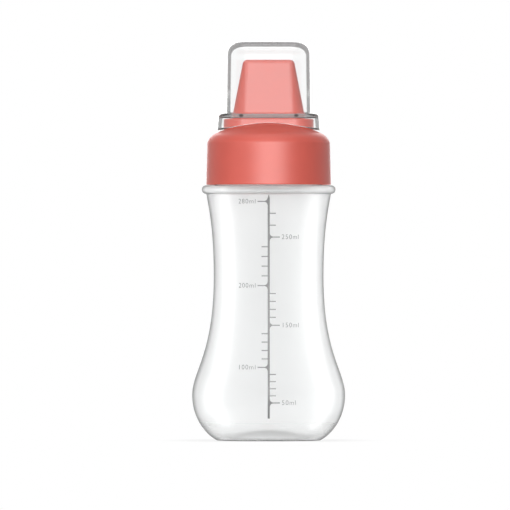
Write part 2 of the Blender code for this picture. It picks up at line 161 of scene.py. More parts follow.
class BottleSizes(bpy.types.PropertyGroup):
    wall: length("Wall", "Thickness of the blown wall", 0.0011)
    foot_radius: length("Foot radius", "Outer radius of the ring that the bottle stands on", 0.0246)
    foot_ring_width: length("Foot ring width", "Width of the flat ring that the bottle stands on", 0.0046)
    punt_rise: length("Punt rise", "Height of the pushed-up base at its middle", 0.0033)
    belly_radius: length("Belly radius", "Greatest radius, without parting line and print",
                         BOTTLE_BOX[1].x - 0.0001)
    belly_height: length("Belly height", "Height of the greatest radius", 0.02175)
    waist_radius: length("Waist radius", "Radius of the hand grip", 0.0261)
    waist_height: length("Waist height", "Height of the hand grip's middle", 0.0779)
    shoulder_radius: length("Shoulder radius", "Radius of the side under the bead", 0.0295)
    shoulder_height: length("Shoulder height", "Height of the side's end under the bead", 0.1168)
    foot_angle: angle("Foot angle", "Slope of the side where it leaves the foot", 26)
    shoulder_angle: angle("Shoulder angle", "Lean of the side where it meets the bead", 7.6)
    bead_radius: length("Bead radius", "Radius of the bead's round section", 0.002)
    bead_stand_out: length("Bead stand-out", "How far the bead stands out of the side", 0.00235)
    bead_blend: length("Bead blend", "Radius of the blend under the bead", 0.0008)
    shelf_width: length("Shelf width", "Step from the side's end in to the neck", 0.0041)
    neck_blend: length("Neck blend", "Radius at the neck's foot", 0.0006)
    rim_edge: length("Rim edge", "Rounding of the mouth's rim", 0.00025)
    seam_foot: length("Seam foot", "Height at which the parting line starts", 0.001)
    seam_width: length("Seam width", "Width of the parting line that the mould leaves", 0.00032)
    seam_height: length("Seam height", "Height of the parting line that the mould leaves", 0.00006)


class ThreadSizes(bpy.types.PropertyGroup):
    pitch: length("Pitch", "Rise of the thread in one turn", 0.005)
    neck_turns: amount("Neck turns", "Turns of the ridge on the neck", 1.5)
    collar_turns: amount("Collar turns", "Turns of the ridge in the collar", 1.25)
    height: length("Height", "Height of the ridge on the neck", 0.0011)
    root_width: length("Root width", "Width of a ridge at its root", 0.0022)
    crest_width: length("Crest width", "Width of a ridge at its crest", 0.001)
    bite: length("Bite", "Depth of a ridge's root in its wall", 0.0004)
    margin: length("Margin", "Height of the collar's ridge above the collar's edge", 0.0006)
    flank_clearance: length("Flank clearance", "Gap between the two ridges", 0.0004)
    neck_clearance: length("Neck clearance", "Gap between the collar's ridge and the neck", 0.0005)


class RingSizes(bpy.types.PropertyGroup):
    overlap: length("Overlap", "How far the ring reaches in past the bottle's inside", 0.0014)
    edge: length("Edge", "Rounding of the ring's edges", 0.0002)


class CollarSizes(bpy.types.PropertyGroup):
    bore_radius: length("Bore radius", "Radius of the collar's inside", 0.0271)
    draft: angle("Draft", "Lean of the side", 1.4)
    edge: length("Edge", "Rounding of the lower edge", 0.0004)
    side_height: length("Side height", "Height of the side up to the shoulder arc", 0.0201)
    shoulder_arc: length("Shoulder arc", "Radius between side and dome", 0.00775)
    dome_radius: length("Dome radius", "Radius of the dome", 0.058)
    dome_thickness: length("Dome thickness", "Wall of the dome", 0.002)
    dome_crease: angle("Dome crease", "Slope at which the shoulder arc leaves the side", 20)
    crease_blend: length("Crease blend", "Length of the soft edge between side and shoulder arc", 0.0007)
    ceiling_height: length("Ceiling height", "Height of the ledge that holds the nozzle's flange", 0.0213)
    ceiling_width: length("Ceiling width", "Width of that ledge", 0.0035)
    ceiling_chamfer: length("Ceiling chamfer", "Chamfer between bore and ledge", 0.0011)
    window_clearance: length("Window clearance", "Gap between the window and the nozzle's boss", 0.0003)
    window_edge: length("Window edge", "Rounding of the window's upper edge", 0.00025)


class NozzleSizes(bpy.types.PropertyGroup):
    flange_thickness: length("Flange thickness", "Thickness of the round flange", 0.0018)
    flange_edge: length("Flange edge", "Rounding of the round flange", 0.0002)
    boss_half_flat: length("Boss half flat", "Half the straight length of the boss", 0.0112)
    boss_end_radius: length("Boss end radius", "Radius of the boss's ends", 0.01025)
    boss_height: length("Boss height", "Height of the boss's top above the flange's underside", 0.0121)
    boss_edge: length("Boss edge", "Rounding of the boss's upper edge", 0.0005)
    boss_wall: length("Boss wall", "Wall of the boss", 0.0018)
    base_half_flat: length("Wedge base half flat", "Half the straight length of the wedge's foot", 0.0098)
    base_end_radius: length("Wedge base end radius", "Radius of the ends of the wedge's foot", 0.0076)
    top_half_flat: length("Wedge top half flat", "Half the straight length of the wedge's top", 0.00905)
    top_end_radius: length("Wedge top end radius", "Radius of the ends of the wedge's top", 0.003)
    top_edge: length("Wedge top edge", "Rounding of the wedge's top", 0.002)
    root_blend: length("Root blend", "Rounding between boss and wedge", 0.0005)
    wedge_wall: length("Wedge wall", "Side wall of the wedge", 0.0015)
    top_wall: length("Top wall", "Wall that the outlets go through", 0.0016)
    funnel_height: length("Funnel height", "Height over which the channel narrows", 0.0036)
    outlet_count: bpy.props.IntProperty(name="Outlets", description="Number of outlets in the row", default=5,
                                        min=2)
    outlet_diameter: length("Outlet diameter", "Bore of an outlet", 0.002)
    outlet_edge: length("Outlet edge", "Chamfer at an outlet's mouth", 0.00022)
    outlet_end_margin: length("Outlet end margin", "Middle of an end outlet from the channel's end", 0.00245)


class CoverSizes(bpy.types.PropertyGroup):
    tube_clearance: length("Tube clearance", "Gap between the wedge's foot and the tube", 0.00115)
    tube_wall: length("Tube wall", "Side wall of the tube", 0.0015)
    tube_top_wall: length("Tube top wall", "Wall of the tube's closed top", 0.0021)
    tube_top_edge: length("Tube top edge", "Outer rounding of the tube's top", 0.0059)
    tube_draft: angle("Tube draft", "Lean of the tube's side", 0.75)
    seat_gap: length("Seat gap", "Gap between the boss's top and the plate", 0.0003)
    plate_thickness: length("Plate thickness", "Thickness of the step between tube and skirt", 0.0025)
    # Place and size of a dark spot of painted shade on the plate's rim, where its rounded end looks dark
    painted_spot_place: length("Gate mark place", "Middle of the cover to a moulding gate's mark", 0.0131)
    painted_spot_radius: length("Gate mark radius", "Radius of a moulding gate's mark", 0.0008)
    skirt_clearance: length("Skirt clearance", "Gap between boss and skirt", 0.00095)
    skirt_wall: length("Skirt wall", "Wall of the skirt", 0.0016)
    skirt_draft: angle("Skirt draft", "Lean of the skirt's side", 6)
    skirt_edge: length("Skirt edge", "Outer rounding between plate and skirt", 0.0019)
    skirt_front_gap: length("Skirt front gap", "Gap between skirt and dome at the front", 0.0004)
    skirt_end_gap: length("Skirt end gap", "Gap between skirt and dome at the ends", 0.0009)
    lip: length("Lip", "Rounding of the skirt's lower edge", 0.0004)
    root_blend: length("Root blend", "Rounding between tube and plate", 0.0005)


class ScaleSizes(bpy.types.PropertyGroup):
    foot: length("Foot", "Height of the line's lower end", 0.0109)
    head: length("Head", "Height of the line's upper end", 0.1168)
    line_width: length("Line width", "Width of the upright line", 0.001)
    line_tip: share("Line tip", "Width of the line's upper end, in shares of its width", 0.35)
    mark_width: length("Mark width", "Width of a mark", 0.00045)
    long_mark: length("Long mark", "Length of a mark that has a number", 0.0053)
    short_mark: length("Short mark", "Length of a mark between the numbers", 0.0034)
    flare: length("Flare", "Size of the curved corners between the line and a long mark", 0.0016)
    number_size: length("Number size", "Type size of the numbers", 0.0032)
    number_thinning: length("Number thinning", "How far the type's strokes are drawn in", 0.00004)
    number_spacing: amount("Number spacing", "Width of a character's space", 1.16)
    number_gap: length("Number gap", "Space between a long mark and its number", 0.0008)
    ink_lift: length("Ink lift", "Height of the print over the bottle", 0.00004)
    ink_thickness: length("Ink thickness", "Thickness of the print", 0.00003)


class Finishes(bpy.types.PropertyGroup):
    milk: colour("Milk", "Colour of the bottle's plastic", (0.968, 0.973, 0.973))
    milk_haze: share("Haze", "Share of the bottle's thin wall that scatters light", 0.06)
    bead_haze: share("Bead haze", "Share of the bead that scatters light", 0.3)
    base_haze: share("Base haze", "Share of the pushed-up base that scatters light", 0.75)
    # Painted shade: the pushed-up base's colour is darker than the milk, for the grey that it shows through
    # the wall
    base_painted_shade: share("Base shade", "Brightness of the pushed-up base beside the wall", 0.84)
    milk_roughness: share("Bottle roughness", "Roughness of the bottle", 0.285)
    foot_roughness: share("Foot roughness", "Roughness of the bottle's outside at its foot", 0.19)
    foot_inside: share("Foot inside", "Roughness of the bottle's inside at its foot", 0.05)
    milk_density: amount("Milk density", "How fast the bottle's wall takes up light", 32.0)
    milk_edge: share("Bottle edge", "Light that the bottle's wall keeps where it is seen edge on", 0.55)
    coral: colour("Coral", "Colour of the collar and nozzle", (0.74, 0.115, 0.082))
    coral_roughness: share("Coral roughness", "Roughness of the collar and nozzle", 0.44)
    silicone: colour("Silicone", "Colour of the sealing ring", (0.78, 0.78, 0.76))
    clear: colour("Clear", "Tint of the dust cover", (0.994, 0.997, 0.997))
    clear_density: amount("Clear density", "How fast the cover's wall takes up light", 20.0)
    clear_edge: share("Cover edge", "Light that the cover's wall keeps where it is seen edge on", 0.66)
    rim_frost: share("Rim frost", "Strength of the frosted band on the flats of the cover's plate", 0.88)
    lip_frost: share("Lip frost", "Strength of the frosting on the skirt's lower edge", 0.4)
    frost: share("Frost", "Brightness of the frosting", 0.86)
    # Strength and brightness of those dark spots of painted shade
    painted_spot_strength: share("Gate mark strength", "Strength of a moulding gate's mark", 0.85)
    painted_spot_shade: share("Gate mark shade", "Brightness of a moulding gate's mark", 0.14)
    ink: colour("Ink", "Colour of the measuring scale", (0.27, 0.27, 0.27))


class StudioSizes(bpy.types.PropertyGroup):
    distance: length("Distance", "Distance of the camera from the bottle", 5.0)
    frame_height: length("Frame height", "Height that the picture shows at the bottle", 0.2430)
    aim_x: length("Aim across", "Place across that the camera looks at", -0.0065)
    aim_z: length("Aim height", "Height that the camera looks at", 0.0883)
    floor_size: length("Floor size", "Width of the floor", 60.0)
    floor_gap: length("Floor gap", "Depth of the floor under the foot", 0.00005)
    floor_shade: share("Floor shade", "Brightness of the floor's own colour", 0.35)
    # How much of the floor's dimmer own colour shows round the foot: real shadow and painted shade
    contact_shade: share("Contact shade", "Share of the floor's own shading that shows at the foot", 0.17)
    contact_start: length("Contact start", "Distance from the axis at which that share begins to fade", 0.02)
    contact_end: length("Contact end", "Distance from the axis at which that share ends", 0.06)
    room_light: amount("Room light", "Brightness of the surroundings", 0.04)
    key_light: amount("Key light", "Brightness of the front softbox", 4.05)
    gloss_light: amount("Gloss light", "Brightness of the front softbox that shows in gloss alone", 4.6)
    cover_light: amount("Cover light", "Brightness of the front softbox for the dust cover", 2.8)
    back_light: amount("Back light", "Brightness of the softbox behind the cap", 2.2)
    fill_light: amount("Fill light", "Brightness of the soft fill from the left", 1.2)
    left_light: amount("Left light", "Brightness of the tall softbox on the left of the bottle", 3.5)
    right_light: amount("Right light", "Brightness of the tall softbox on the right of the bottle", 2.8)
    top_light: amount("Top light", "Brightness of the top softbox", 1.3)
    veil_light: amount("Veil light", "Brightness of the wide softbox that lights the bottle's haze", 0.85)


def curve_points(start, start_handle, end_handle, end, steps):
    """Points of a cubic curve after its start."""
    corners = (start, start_handle, end_handle, end)
    points = []
    for step in range(1, steps + 1):
        t = step / steps
        weights = ((1 - t) ** 3, 3 * t * (1 - t) ** 2, 3 * t ** 2 * (1 - t), t ** 3)
        points.append(tuple(sum(w * c[axis] for w, c in zip(weights, corners)) for axis in range(2)))
    return points


def arc(centre, radius, start, end, steps):
    """Points of an arc in the (radius, height) plane, with angles in radians."""
    angles = (start + (end - start) * step / steps for step in range(steps + 1))
    return [(centre[0] + radius * cos(a), centre[1] + radius * sin(a)) for a in angles]


def rounding(corner, edge, start, end, steps):
    """Points of a quarter circle that rounds a corner, from one angle to another."""
    middle = (start + end) / 2
    centre = (corner[0] - copysign(edge, cos(middle)), corner[1] - copysign(edge, sin(middle)))
    return arc(centre, edge, start, end, steps)


def edit():
    bpy.ops.object.mode_set(mode="EDIT")


def leave_edit():
    bpy.ops.object.mode_set(mode="OBJECT")


def clear_selection():
    bpy.ops.object.select_all(action="DESELECT")


def select_all():
    bpy.ops.mesh.select_all(action="SELECT")


def make_active(piece):
    clear_selection()
    piece.select_set(True)
    bpy.context.view_layer.objects.active = piece


def new_piece(name):
    """Name the primitive that was just added, and put its place in its mesh."""
    bpy.ops.object.transform_apply(location=True, rotation=True, scale=True)
    piece = bpy.context.object
    piece.name = piece.data.name = name
    return piece


def select_vertices(test, newest=None):
    """Select the vertices in edit mode that pass a test of their place, of all or of the newest ones."""
    mesh = bmesh.from_edit_mesh(bpy.context.object.data)
    mesh.select_mode = {"VERT"}
    first = len(mesh.verts) - newest if newest else 0
    for index, vertex in enumerate(mesh.verts):
        vertex.select = index >= first and test(vertex.co)
    mesh.select_flush_mode()
    bmesh.update_edit_mesh(bpy.context.object.data)


def slice_piece(places, normal):
    """Cut across the piece that is in edit mode, at some places."""
    for place in places:
        select_all()
        bpy.ops.mesh.bisect(plane_co=place, plane_no=normal)


def apply_modifier(piece, kind, **values):
    """Add a modifier, set its values and apply it."""
    make_active(piece)
    modifier = piece.modifiers.new(kind.lower(), kind)
    for name, value in values.items():
        setattr(modifier, name, value)
    bpy.ops.object.modifier_apply(modifier=modifier.name)


def combine(piece, other, operation):
    """Join or cut a piece with another, and throw the other away."""
    apply_modifier(piece, "BOOLEAN", operation=operation, object=other, solver="EXACT")
    bpy.data.objects.remove(other, do_unlink=True)


def tidy_mesh(piece):
    """Merge doubles, turn all faces outwards and shade the round faces smooth."""
    make_active(piece)
    edit()
    select_all()
    bpy.ops.mesh.remove_doubles(threshold=WELD_DISTANCE)
    bpy.ops.mesh.normals_make_consistent(inside=False)
    leave_edit()
    bpy.ops.object.shade_smooth_by_angle(angle=SMOOTH_ANGLE)


def even_shading(piece):
    """Keep the shading of flat faces flat beside round ones."""
    apply_modifier(piece, "WEIGHTED_NORMAL", mode="FACE_AREA", weight=50, keep_sharp=True)


def lathe(name, outline, steps=ROUND_STEPS, closed=False):
    """Draw an outline of (radius, height) points from a single vertex and spin it about the axis."""
    clear_selection()
    radius, height = outline[0]
    bpy.ops.mesh.primitive_plane_add(size=WELD_DISTANCE, location=(radius, 0, height))
    piece = new_piece(name)
    edit()
    select_all()
    bpy.ops.mesh.merge(type="CENTER")
    for (radius, height), (next_radius, next_height) in zip(outline, outline[1:]):
        step = (next_radius - radius, 0, next_height - height)
        bpy.ops.mesh.extrude_vertices_move(TRANSFORM_OT_translate={"value": step})
    if closed:
        ends = (outline[0], outline[-1])
        select_vertices(lambda co: any(hypot(co.x - r, co.z - z) < WELD_DISTANCE for r, z in ends))
        bpy.ops.mesh.edge_face_add()
    select_all()
    bpy.ops.mesh.spin(steps=steps, angle=2 * pi, center=(0, 0, 0), axis=(0, 0, 1))
    leave_edit()
    tidy_mesh(piece)
    return piece


def oblong(name, sections, steps=OBLONG_STEPS):
    """Grow a closed body through oblong sections, each a (half flat, end radius, height)."""
    clear_selection()
    half_flat, radius, height = sections[0]
    bpy.ops.mesh.primitive_circle_add(vertices=steps, radius=radius / cos(pi / steps),
                                      location=(0, 0, height), rotation=(0, 0, pi / steps))
    piece = new_piece(name)
    edit()
    for side in (1, -1):
        select_vertices(lambda co: co.x * side > 0)
        bpy.ops.transform.translate(value=(side * half_flat, 0, 0))
    select_all()
    bpy.ops.mesh.edge_face_add()
    for next_half_flat, next_radius, next_height in sections[1:]:
        select_vertices(lambda co: True, newest=steps)
        bpy.ops.mesh.extrude_region_move(TRANSFORM_OT_translate={"value": (0, 0, next_height - height)})
        growth = next_radius / radius
        for side in (1, -1):
            middle = (side * half_flat, 0, next_height)
            select_vertices(lambda co: co.x * side > 0, newest=steps)
            bpy.ops.transform.resize(value=(growth, growth, 1), center_override=middle)
            bpy.ops.transform.translate(value=(side * (next_half_flat - half_flat), 0, 0))
        half_flat, radius, height = next_half_flat, next_radius, next_height
    leave_edit()
    tidy_mesh(piece)
    return piece


def oblong_sections(half_flat, points):
    """Sections with one half flat, from (end radius, height) points."""
    return [(half_flat, radius, height) for radius, height in points]


def coil_ridge(name, wall_radius, crest_radius, start_height, turns):
    """Sweep a thread's section round the axis, step by step, with both ends faded into the wall."""
    sizes = bpy.context.scene.sauce_thread
    outside = crest_radius > wall_radius
    root_radius = wall_radius - sizes.bite if outside else wall_radius + sizes.bite
    middle = (root_radius + wall_radius) / 2
    steps = round(turns * ROUND_STEPS)

    def crest_at(step):
        grown = min(1.0, (1 + min(step, steps - step)) / FADE_STEPS)
        return wall_radius + (crest_radius - wall_radius) * sin(grown * pi / 2)

    clear_selection()
    bpy.ops.mesh.primitive_plane_add(size=1, rotation=(pi / 2, 0, 0))
    piece = new_piece(name)
    edit()
    select_vertices(lambda co: co.x < 0)
    bpy.ops.transform.resize(value=(1, 1, sizes.root_width), center_override=(0, 0, 0))
    bpy.ops.transform.translate(value=(root_radius + 0.5, 0, start_height))
    select_vertices(lambda co: co.x > 0.25)
    bpy.ops.transform.resize(value=(1, 1, sizes.crest_width), center_override=(0, 0, 0))
    bpy.ops.transform.translate(value=(crest_at(0) - 0.5, 0, start_height))
    for step in range(1, steps + 1):
        select_vertices(lambda co: True, newest=4)
        bpy.ops.mesh.extrude_region_move(TRANSFORM_OT_translate={"value": (0, 0, sizes.pitch / ROUND_STEPS)})
        bpy.ops.transform.rotate(value=-2 * pi / ROUND_STEPS, orient_axis="Z", center_override=(0, 0, 0))
        growth = crest_at(step) / crest_at(step - 1)
        if growth != 1.0:
            select_vertices(lambda co: (hypot(co.x, co.y) > middle) == outside, newest=4)
            bpy.ops.transform.resize(value=(growth, growth, 1), center_override=(0, 0, 0))
    leave_edit()
    tidy_mesh(piece)
    return piece


class Value:
    """A shader socket that takes part in sums and products, each of which adds a Math node."""

    def __init__(self, finish, socket):
        self.finish = finish
        self.socket = socket

    def math(self, operation, *terms):
        return self.finish.node("ShaderNodeMath", *terms, settings={"operation": operation})

    def __add__(self, other):
        return self.math("ADD", self, other)

    __radd__ = __add__

    def __sub__(self, other):
        return self.math("SUBTRACT", self, other)

    def __rsub__(self, other):
        return self.math("SUBTRACT", other, self)

    def __mul__(self, other):
        return self.math("MULTIPLY", self, other)

    __rmul__ = __mul__

    def __pow__(self, other):
        return self.math("POWER", self, other)

    def absolute(self):
        return self.math("ABSOLUTE", self)

    def at_most(self, other):
        return self.math("MINIMUM", self, other)

    def at_least(self, other):
        return self.math("MAXIMUM", self, other)

    def below(self, other):
        """1 below a limit and 0 above it."""
        return self.math("LESS_THAN", self, other)

    def ramp(self, low, high):
        """0 below low and 1 above high, with a smooth step between."""
        return self.finish.node("ShaderNodeMapRange", self, low, high, 0.0, 1.0,
                                settings={"interpolation_type": "SMOOTHSTEP"})


class Finish:
    """The node tree of a material, or of the world, written as expressions."""

    def __init__(self, owner):
        self.owner = owner
        self.owner.use_nodes = True
        self.tree = owner.node_tree
        self.tree.nodes.clear()

    def node(self, kind, *inputs, settings=None, output=0, **named):
        """Add a node, set it, then set or link its sockets, and give one of its outputs."""
        made = self.tree.nodes.new(kind)
        for name, value in (settings or {}).items():
            setattr(made, name, value)
        for index, value in enumerate(inputs):
            self.feed(made.inputs[index], value)
        for name, value in named.items():
            self.feed(made.inputs[name.replace("_", " ")], value)
        return Value(self, made.outputs[output]) if made.outputs else None

    def feed(self, socket, value):
        if isinstance(value, Value):
            self.tree.links.new(value.socket, socket)
        elif value is not None:
            socket.default_value = value

    def point(self):
        """The point on the piece, in metres."""
        return self.node("ShaderNodeTexCoord", output="Object")

    def parts(self, vector):
        """The three values of a vector."""
        first = self.node("ShaderNodeSeparateXYZ", vector)
        return [Value(self, socket) for socket in first.socket.node.outputs]

    def noise(self, size, detail=2.0, scale=(1, 1, 1)):
        """Soft noise whose bumps are about as wide as size, in metres."""
        place = self.node("ShaderNodeMapping", self.point(), Scale=scale)
        return self.node("ShaderNodeTexNoise", place, Scale=1 / size, Detail=detail, output="Fac")

    def mix(self, factor, first, second):
        """A colour between two, which are the node's seventh and eighth sockets."""
        between = [None] * 5
        return self.node("ShaderNodeMix", factor, *between, first, second,
                         settings={"data_type": "RGBA"}, output=2)

    def bump(self, height, depth):
        """A normal from a height in shares of a depth in metres."""
        return self.node("ShaderNodeBump", Strength=1.0, Distance=depth, Height=height, output="Normal")

    def plastic(self, **sockets):
        """The usual shader, with some of its sockets set or linked."""
        return self.node("ShaderNodeBsdfPrincipled", output="BSDF", **sockets)

    def matt(self, brightness):
        return self.node("ShaderNodeBsdfDiffuse", grey(brightness))

    def ray(self, question):
        """An answer about the ray that meets the surface."""
        return self.node("ShaderNodeLightPath", output=question)

    def surface(self, shader, volume=None):
        """Link the shader, and what fills the piece, to the material's output, and give the material."""
        self.node("ShaderNodeOutputMaterial", shader, volume)
        return self.owner

    def lit_through(self, shader, rgb):
        """A see-through surface that casts no dark shadow."""
        clear = self.node("ShaderNodeBsdfTransparent", opaque(rgb))
        return self.over(self.ray("Is Shadow Ray"), shader, clear)

    def slant(self, low, high):
        """0 where a surface is seen square on and 1 where it is seen edge on, with a step between."""
        return self.node("ShaderNodeLayerWeight", 0.5, output="Facing").ramp(low, high)

    def backfacing(self):
        return self.node("ShaderNodeNewGeometry", output="Backfacing")

    def over(self, factor, first, second):
        """The first shader, and by a factor the second over it."""
        return self.node("ShaderNodeMixShader", factor, first, second)

    def dimmed(self, kept):
        """Light that goes straight on, with a share of it kept."""
        return self.node("ShaderNodeBsdfTransparent", grey(kept))

    def outline_loss(self, shader, loss, where):
        """Take light away on an outside seen edge on, or by a mask, which draws the outline in grey."""
        lost = self.slant(low=0.64, high=0.9).at_least(where) * (1 - self.backfacing()) * loss
        return self.over(lost, shader, self.dimmed(0.0))

    def wall_loss(self, shader, loss, where, straight):
        """Take light away that is caught inside a clear wall, which draws its thickness in grey."""
        just_inside = self.ray("Ray Depth").below(1.5)
        caught = self.slant(low=0.22, high=0.26) * self.backfacing() * just_inside * where
        shader = self.over(caught * (1 - straight) * loss, shader, self.dimmed(0.0))
        return self.over(caught * straight, shader, self.dimmed(1 - loss))

    def absorption(self, density):
        """A grey that deepens with the length of the way through the wall."""
        return self.node("ShaderNodeVolumeAbsorption", grey(0.5), density)


def opaque(rgb):
    return (*rgb, 1.0)


def grey(brightness):
    return opaque([brightness] * 3)


def darker(rgb, kept):
    return opaque([channel * kept for channel in rgb])


def moulded_coral(name, shade=1.0):
    """Satin injection-moulded plastic, with a faint grain and soft handling marks; a factor makes a lighter
    copy of it, which is painted light.
    """
    finish = Finish(bpy.data.materials.new(name))
    look = bpy.context.scene.sauce_finishes
    cloud = finish.noise(size=0.012, detail=3.0).ramp(low=0.3, high=0.7)
    tint = finish.mix(cloud, darker(look.coral, 0.98 * shade), darker(look.coral, 1.02 * shade))
    handling = finish.noise(size=0.006, detail=4.0)
    grain = finish.noise(size=0.00035, detail=1.0)
    roughness = look.coral_roughness - 0.03 + 0.06 * handling
    return finish.surface(finish.plastic(Base_Color=tint, Roughness=roughness, IOR=1.52,
                                         Normal=finish.bump(grain, depth=0.000012)))


def milky_plastic(name):
    """Thin translucent polyethylene, milkier where it is thick, in the bead and in the pushed-up base, whose
    colour is painted darker as shade.
    """
    finish = Finish(bpy.data.materials.new(name))
    look = bpy.context.scene.sauce_finishes
    bottle = bpy.context.scene.sauce_bottle
    ripple = finish.noise(size=0.009, detail=2.0, scale=(1, 1, 0.5))
    grain = finish.noise(size=0.0006, detail=1.0)
    normal = finish.bump(ripple * 0.9 + grain * 0.1, depth=0.00004)
    across, forward, height = finish.parts(finish.point())
    radius = (across * across + forward * forward) ** 0.5

    # Where the bead is, the base inside the foot's ring, the foot's lowest part, and a thin band at its edge
    # on the floor for a painted shadow line
    underside = bead_place(bottle).height - bottle.bead_radius
    bead = height.ramp(underside, underside + 0.0008)
    ring = bottle.foot_radius - bottle.foot_ring_width
    top = bottle.punt_rise + bottle.wall
    soft = 0.0006
    base = (1 - radius.ramp(ring - soft, ring + soft)) * (1 - height.ramp(top, top + soft))
    foot = 1 - height.ramp(low=0.0055, high=0.0095)
    painted_contact_line = 1 - height.ramp(low=0.0003, high=0.0007)

    # The foot is clearer than the wall, on its outside and more so on its inside
    outside_polish = look.milk_roughness - look.foot_roughness
    inside_polish = look.foot_roughness - look.foot_inside
    polish = outside_polish * foot + inside_polish * foot * finish.backfacing()
    thin = finish.plastic(Base_Color=opaque(look.milk), Roughness=look.milk_roughness - polish,
                          Transmission_Weight=1 - look.milk_haze, IOR=1.5, Normal=normal)
    # Painted shade: the pushed-up base takes a darker copy of the milk's colour
    tint = finish.mix(base, opaque(look.milk), darker(look.milk, look.base_painted_shade))
    thick = finish.plastic(Base_Color=tint, Roughness=look.milk_roughness, IOR=1.5, Normal=normal)
    shader = finish.over(bead * look.bead_haze + base * look.base_haze, thin, thick)
    # The outline, and a painted shadow line along the foot's edge on the floor, both drawn in grey
    shader = finish.outline_loss(shader, look.milk_edge, painted_contact_line)
    return finish.surface(finish.lit_through(shader, look.milk), finish.absorption(look.milk_density))


def clear_plastic(name):
    """Polished clear plastic, with a frosted band and two dark spots of painted shade on each flat of the
    plate's rim.
    """
    finish = Finish(bpy.data.materials.new(name))
    look = bpy.context.scene.sauce_finishes
    cover = bpy.context.scene.sauce_cover
    nozzle = bpy.context.scene.sauce_nozzle
    collar = bpy.context.scene.sauce_collar
    point = finish.point()
    across, forward, height = finish.parts(point)
    plate = plate_height(cover, nozzle)
    deck = plate + cover.plate_thickness

    # The frosted band on the rim's flats, weaker outside the painted dark spots and gone at the ends
    flats = forward.absolute().ramp(nozzle.boss_end_radius, nozzle.boss_end_radius + cover.skirt_clearance)
    band = height.ramp(plate + 0.0001, plate + 0.0004) * (1 - height.ramp(deck - 0.0006, deck - 0.0002))
    beside = across.absolute() - cover.painted_spot_place
    weaker = 0.35 * beside.ramp(low=0.0022, high=0.0036)
    gone = beside.ramp(low=0.0062, high=0.0076)
    rim = band * flats * (1 - weaker) * (1 - gone)

    # A dark spot of painted shade, wider than it is high, where the plate's rounded end looks dark
    above = height - (plate + deck) / 2
    off_painted_spot = (0.5 * beside * beside + above * above) ** 0.5
    mark = flats * (1 - off_painted_spot.ramp(cover.painted_spot_radius * 0.5, cover.painted_spot_radius * 1.3))

    # The wall, which catches light all over except at the skirt's lower edge between its ends
    ripple = finish.noise(size=0.011, detail=1.0)
    shader = finish.plastic(Base_Color=opaque(look.clear), Roughness=0.0, Transmission_Weight=1.0, IOR=1.49,
                            Normal=finish.bump(ripple, depth=0.00002))
    middle = (0, 0, dome_place(collar).height)
    from_middle = finish.node("ShaderNodeVectorMath", point, middle, settings={"operation": "DISTANCE"},
                              output="Value")
    over_dome = from_middle - collar.dome_radius
    ends = across.absolute().ramp(low=0.0205, high=0.0215)
    away_from_lip = 1 - (1 - over_dome.ramp(low=0.0014, high=0.0022)) * (1 - ends)
    tube = height.ramp(deck + 0.006, deck + 0.012)
    shader = finish.wall_loss(shader, look.clear_edge, where=away_from_lip, straight=tube)

    # The frosting on the faces of the lower edge that look down
    up = finish.parts(finish.node("ShaderNodeNewGeometry", output="Normal"))[2]
    near_dome = 1 - over_dome.ramp(low=0.0018, high=0.0022)
    lip = (0 - up).ramp(low=0.3, high=0.6) * near_dome * (1 - finish.backfacing())
    speckle = finish.noise(size=0.0006, detail=2.0)
    frosted = rim * look.rim_frost * (0.9 + 0.2 * speckle) + lip * look.lip_frost
    shader = finish.over(frosted, shader, finish.matt(look.frost))
    # The dark spots of painted shade over the frosted band
    shader = finish.over(mark * look.painted_spot_strength, shader, finish.matt(look.painted_spot_shade))
    return finish.surface(finish.lit_through(shader, look.clear), finish.absorption(look.clear_density))


def soft_silicone(name):
    """Soft matt silicone with a fine grain."""
    finish = Finish(bpy.data.materials.new(name))
    rgb = bpy.context.scene.sauce_finishes.silicone
    grain = finish.noise(size=0.0005)
    tint = finish.mix(finish.noise(size=0.004), darker(rgb, 0.96), opaque(rgb))
    return finish.surface(finish.plastic(Base_Color=tint, Roughness=0.5 + 0.1 * grain,
                                         Normal=finish.bump(grain, depth=0.00002)))


def grey_ink(name):
    """Screen-printed ink, a little uneven."""
    finish = Finish(bpy.data.materials.new(name))
    rgb = bpy.context.scene.sauce_finishes.ink
    speckle = finish.noise(size=0.00025).ramp(low=0.35, high=0.65)
    tint = finish.mix(speckle, darker(rgb, 0.93), darker(rgb, 1.08))
    return finish.surface(finish.plastic(Base_Color=tint, Roughness=0.5))


def dress(piece, material, body, node=None):
    """Give a piece its material, and tell the frame what it rides on and stands for."""
    piece.data.materials.clear()
    piece.data.materials.append(material)
    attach(piece, body)
    if node:
        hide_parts(node)


def punt_points(sizes):
    """The pushed-up base from its middle out to the ring that the bottle stands on."""
    radius = sizes.foot_radius - sizes.foot_ring_width
    curve = (radius ** 2 + sizes.punt_rise ** 2) / (2 * sizes.punt_rise)
    reach = asin(radius / curve)
    return arc((0, sizes.punt_rise - curve), curve, pi / 2, pi / 2 - reach, PUNT_STEPS)


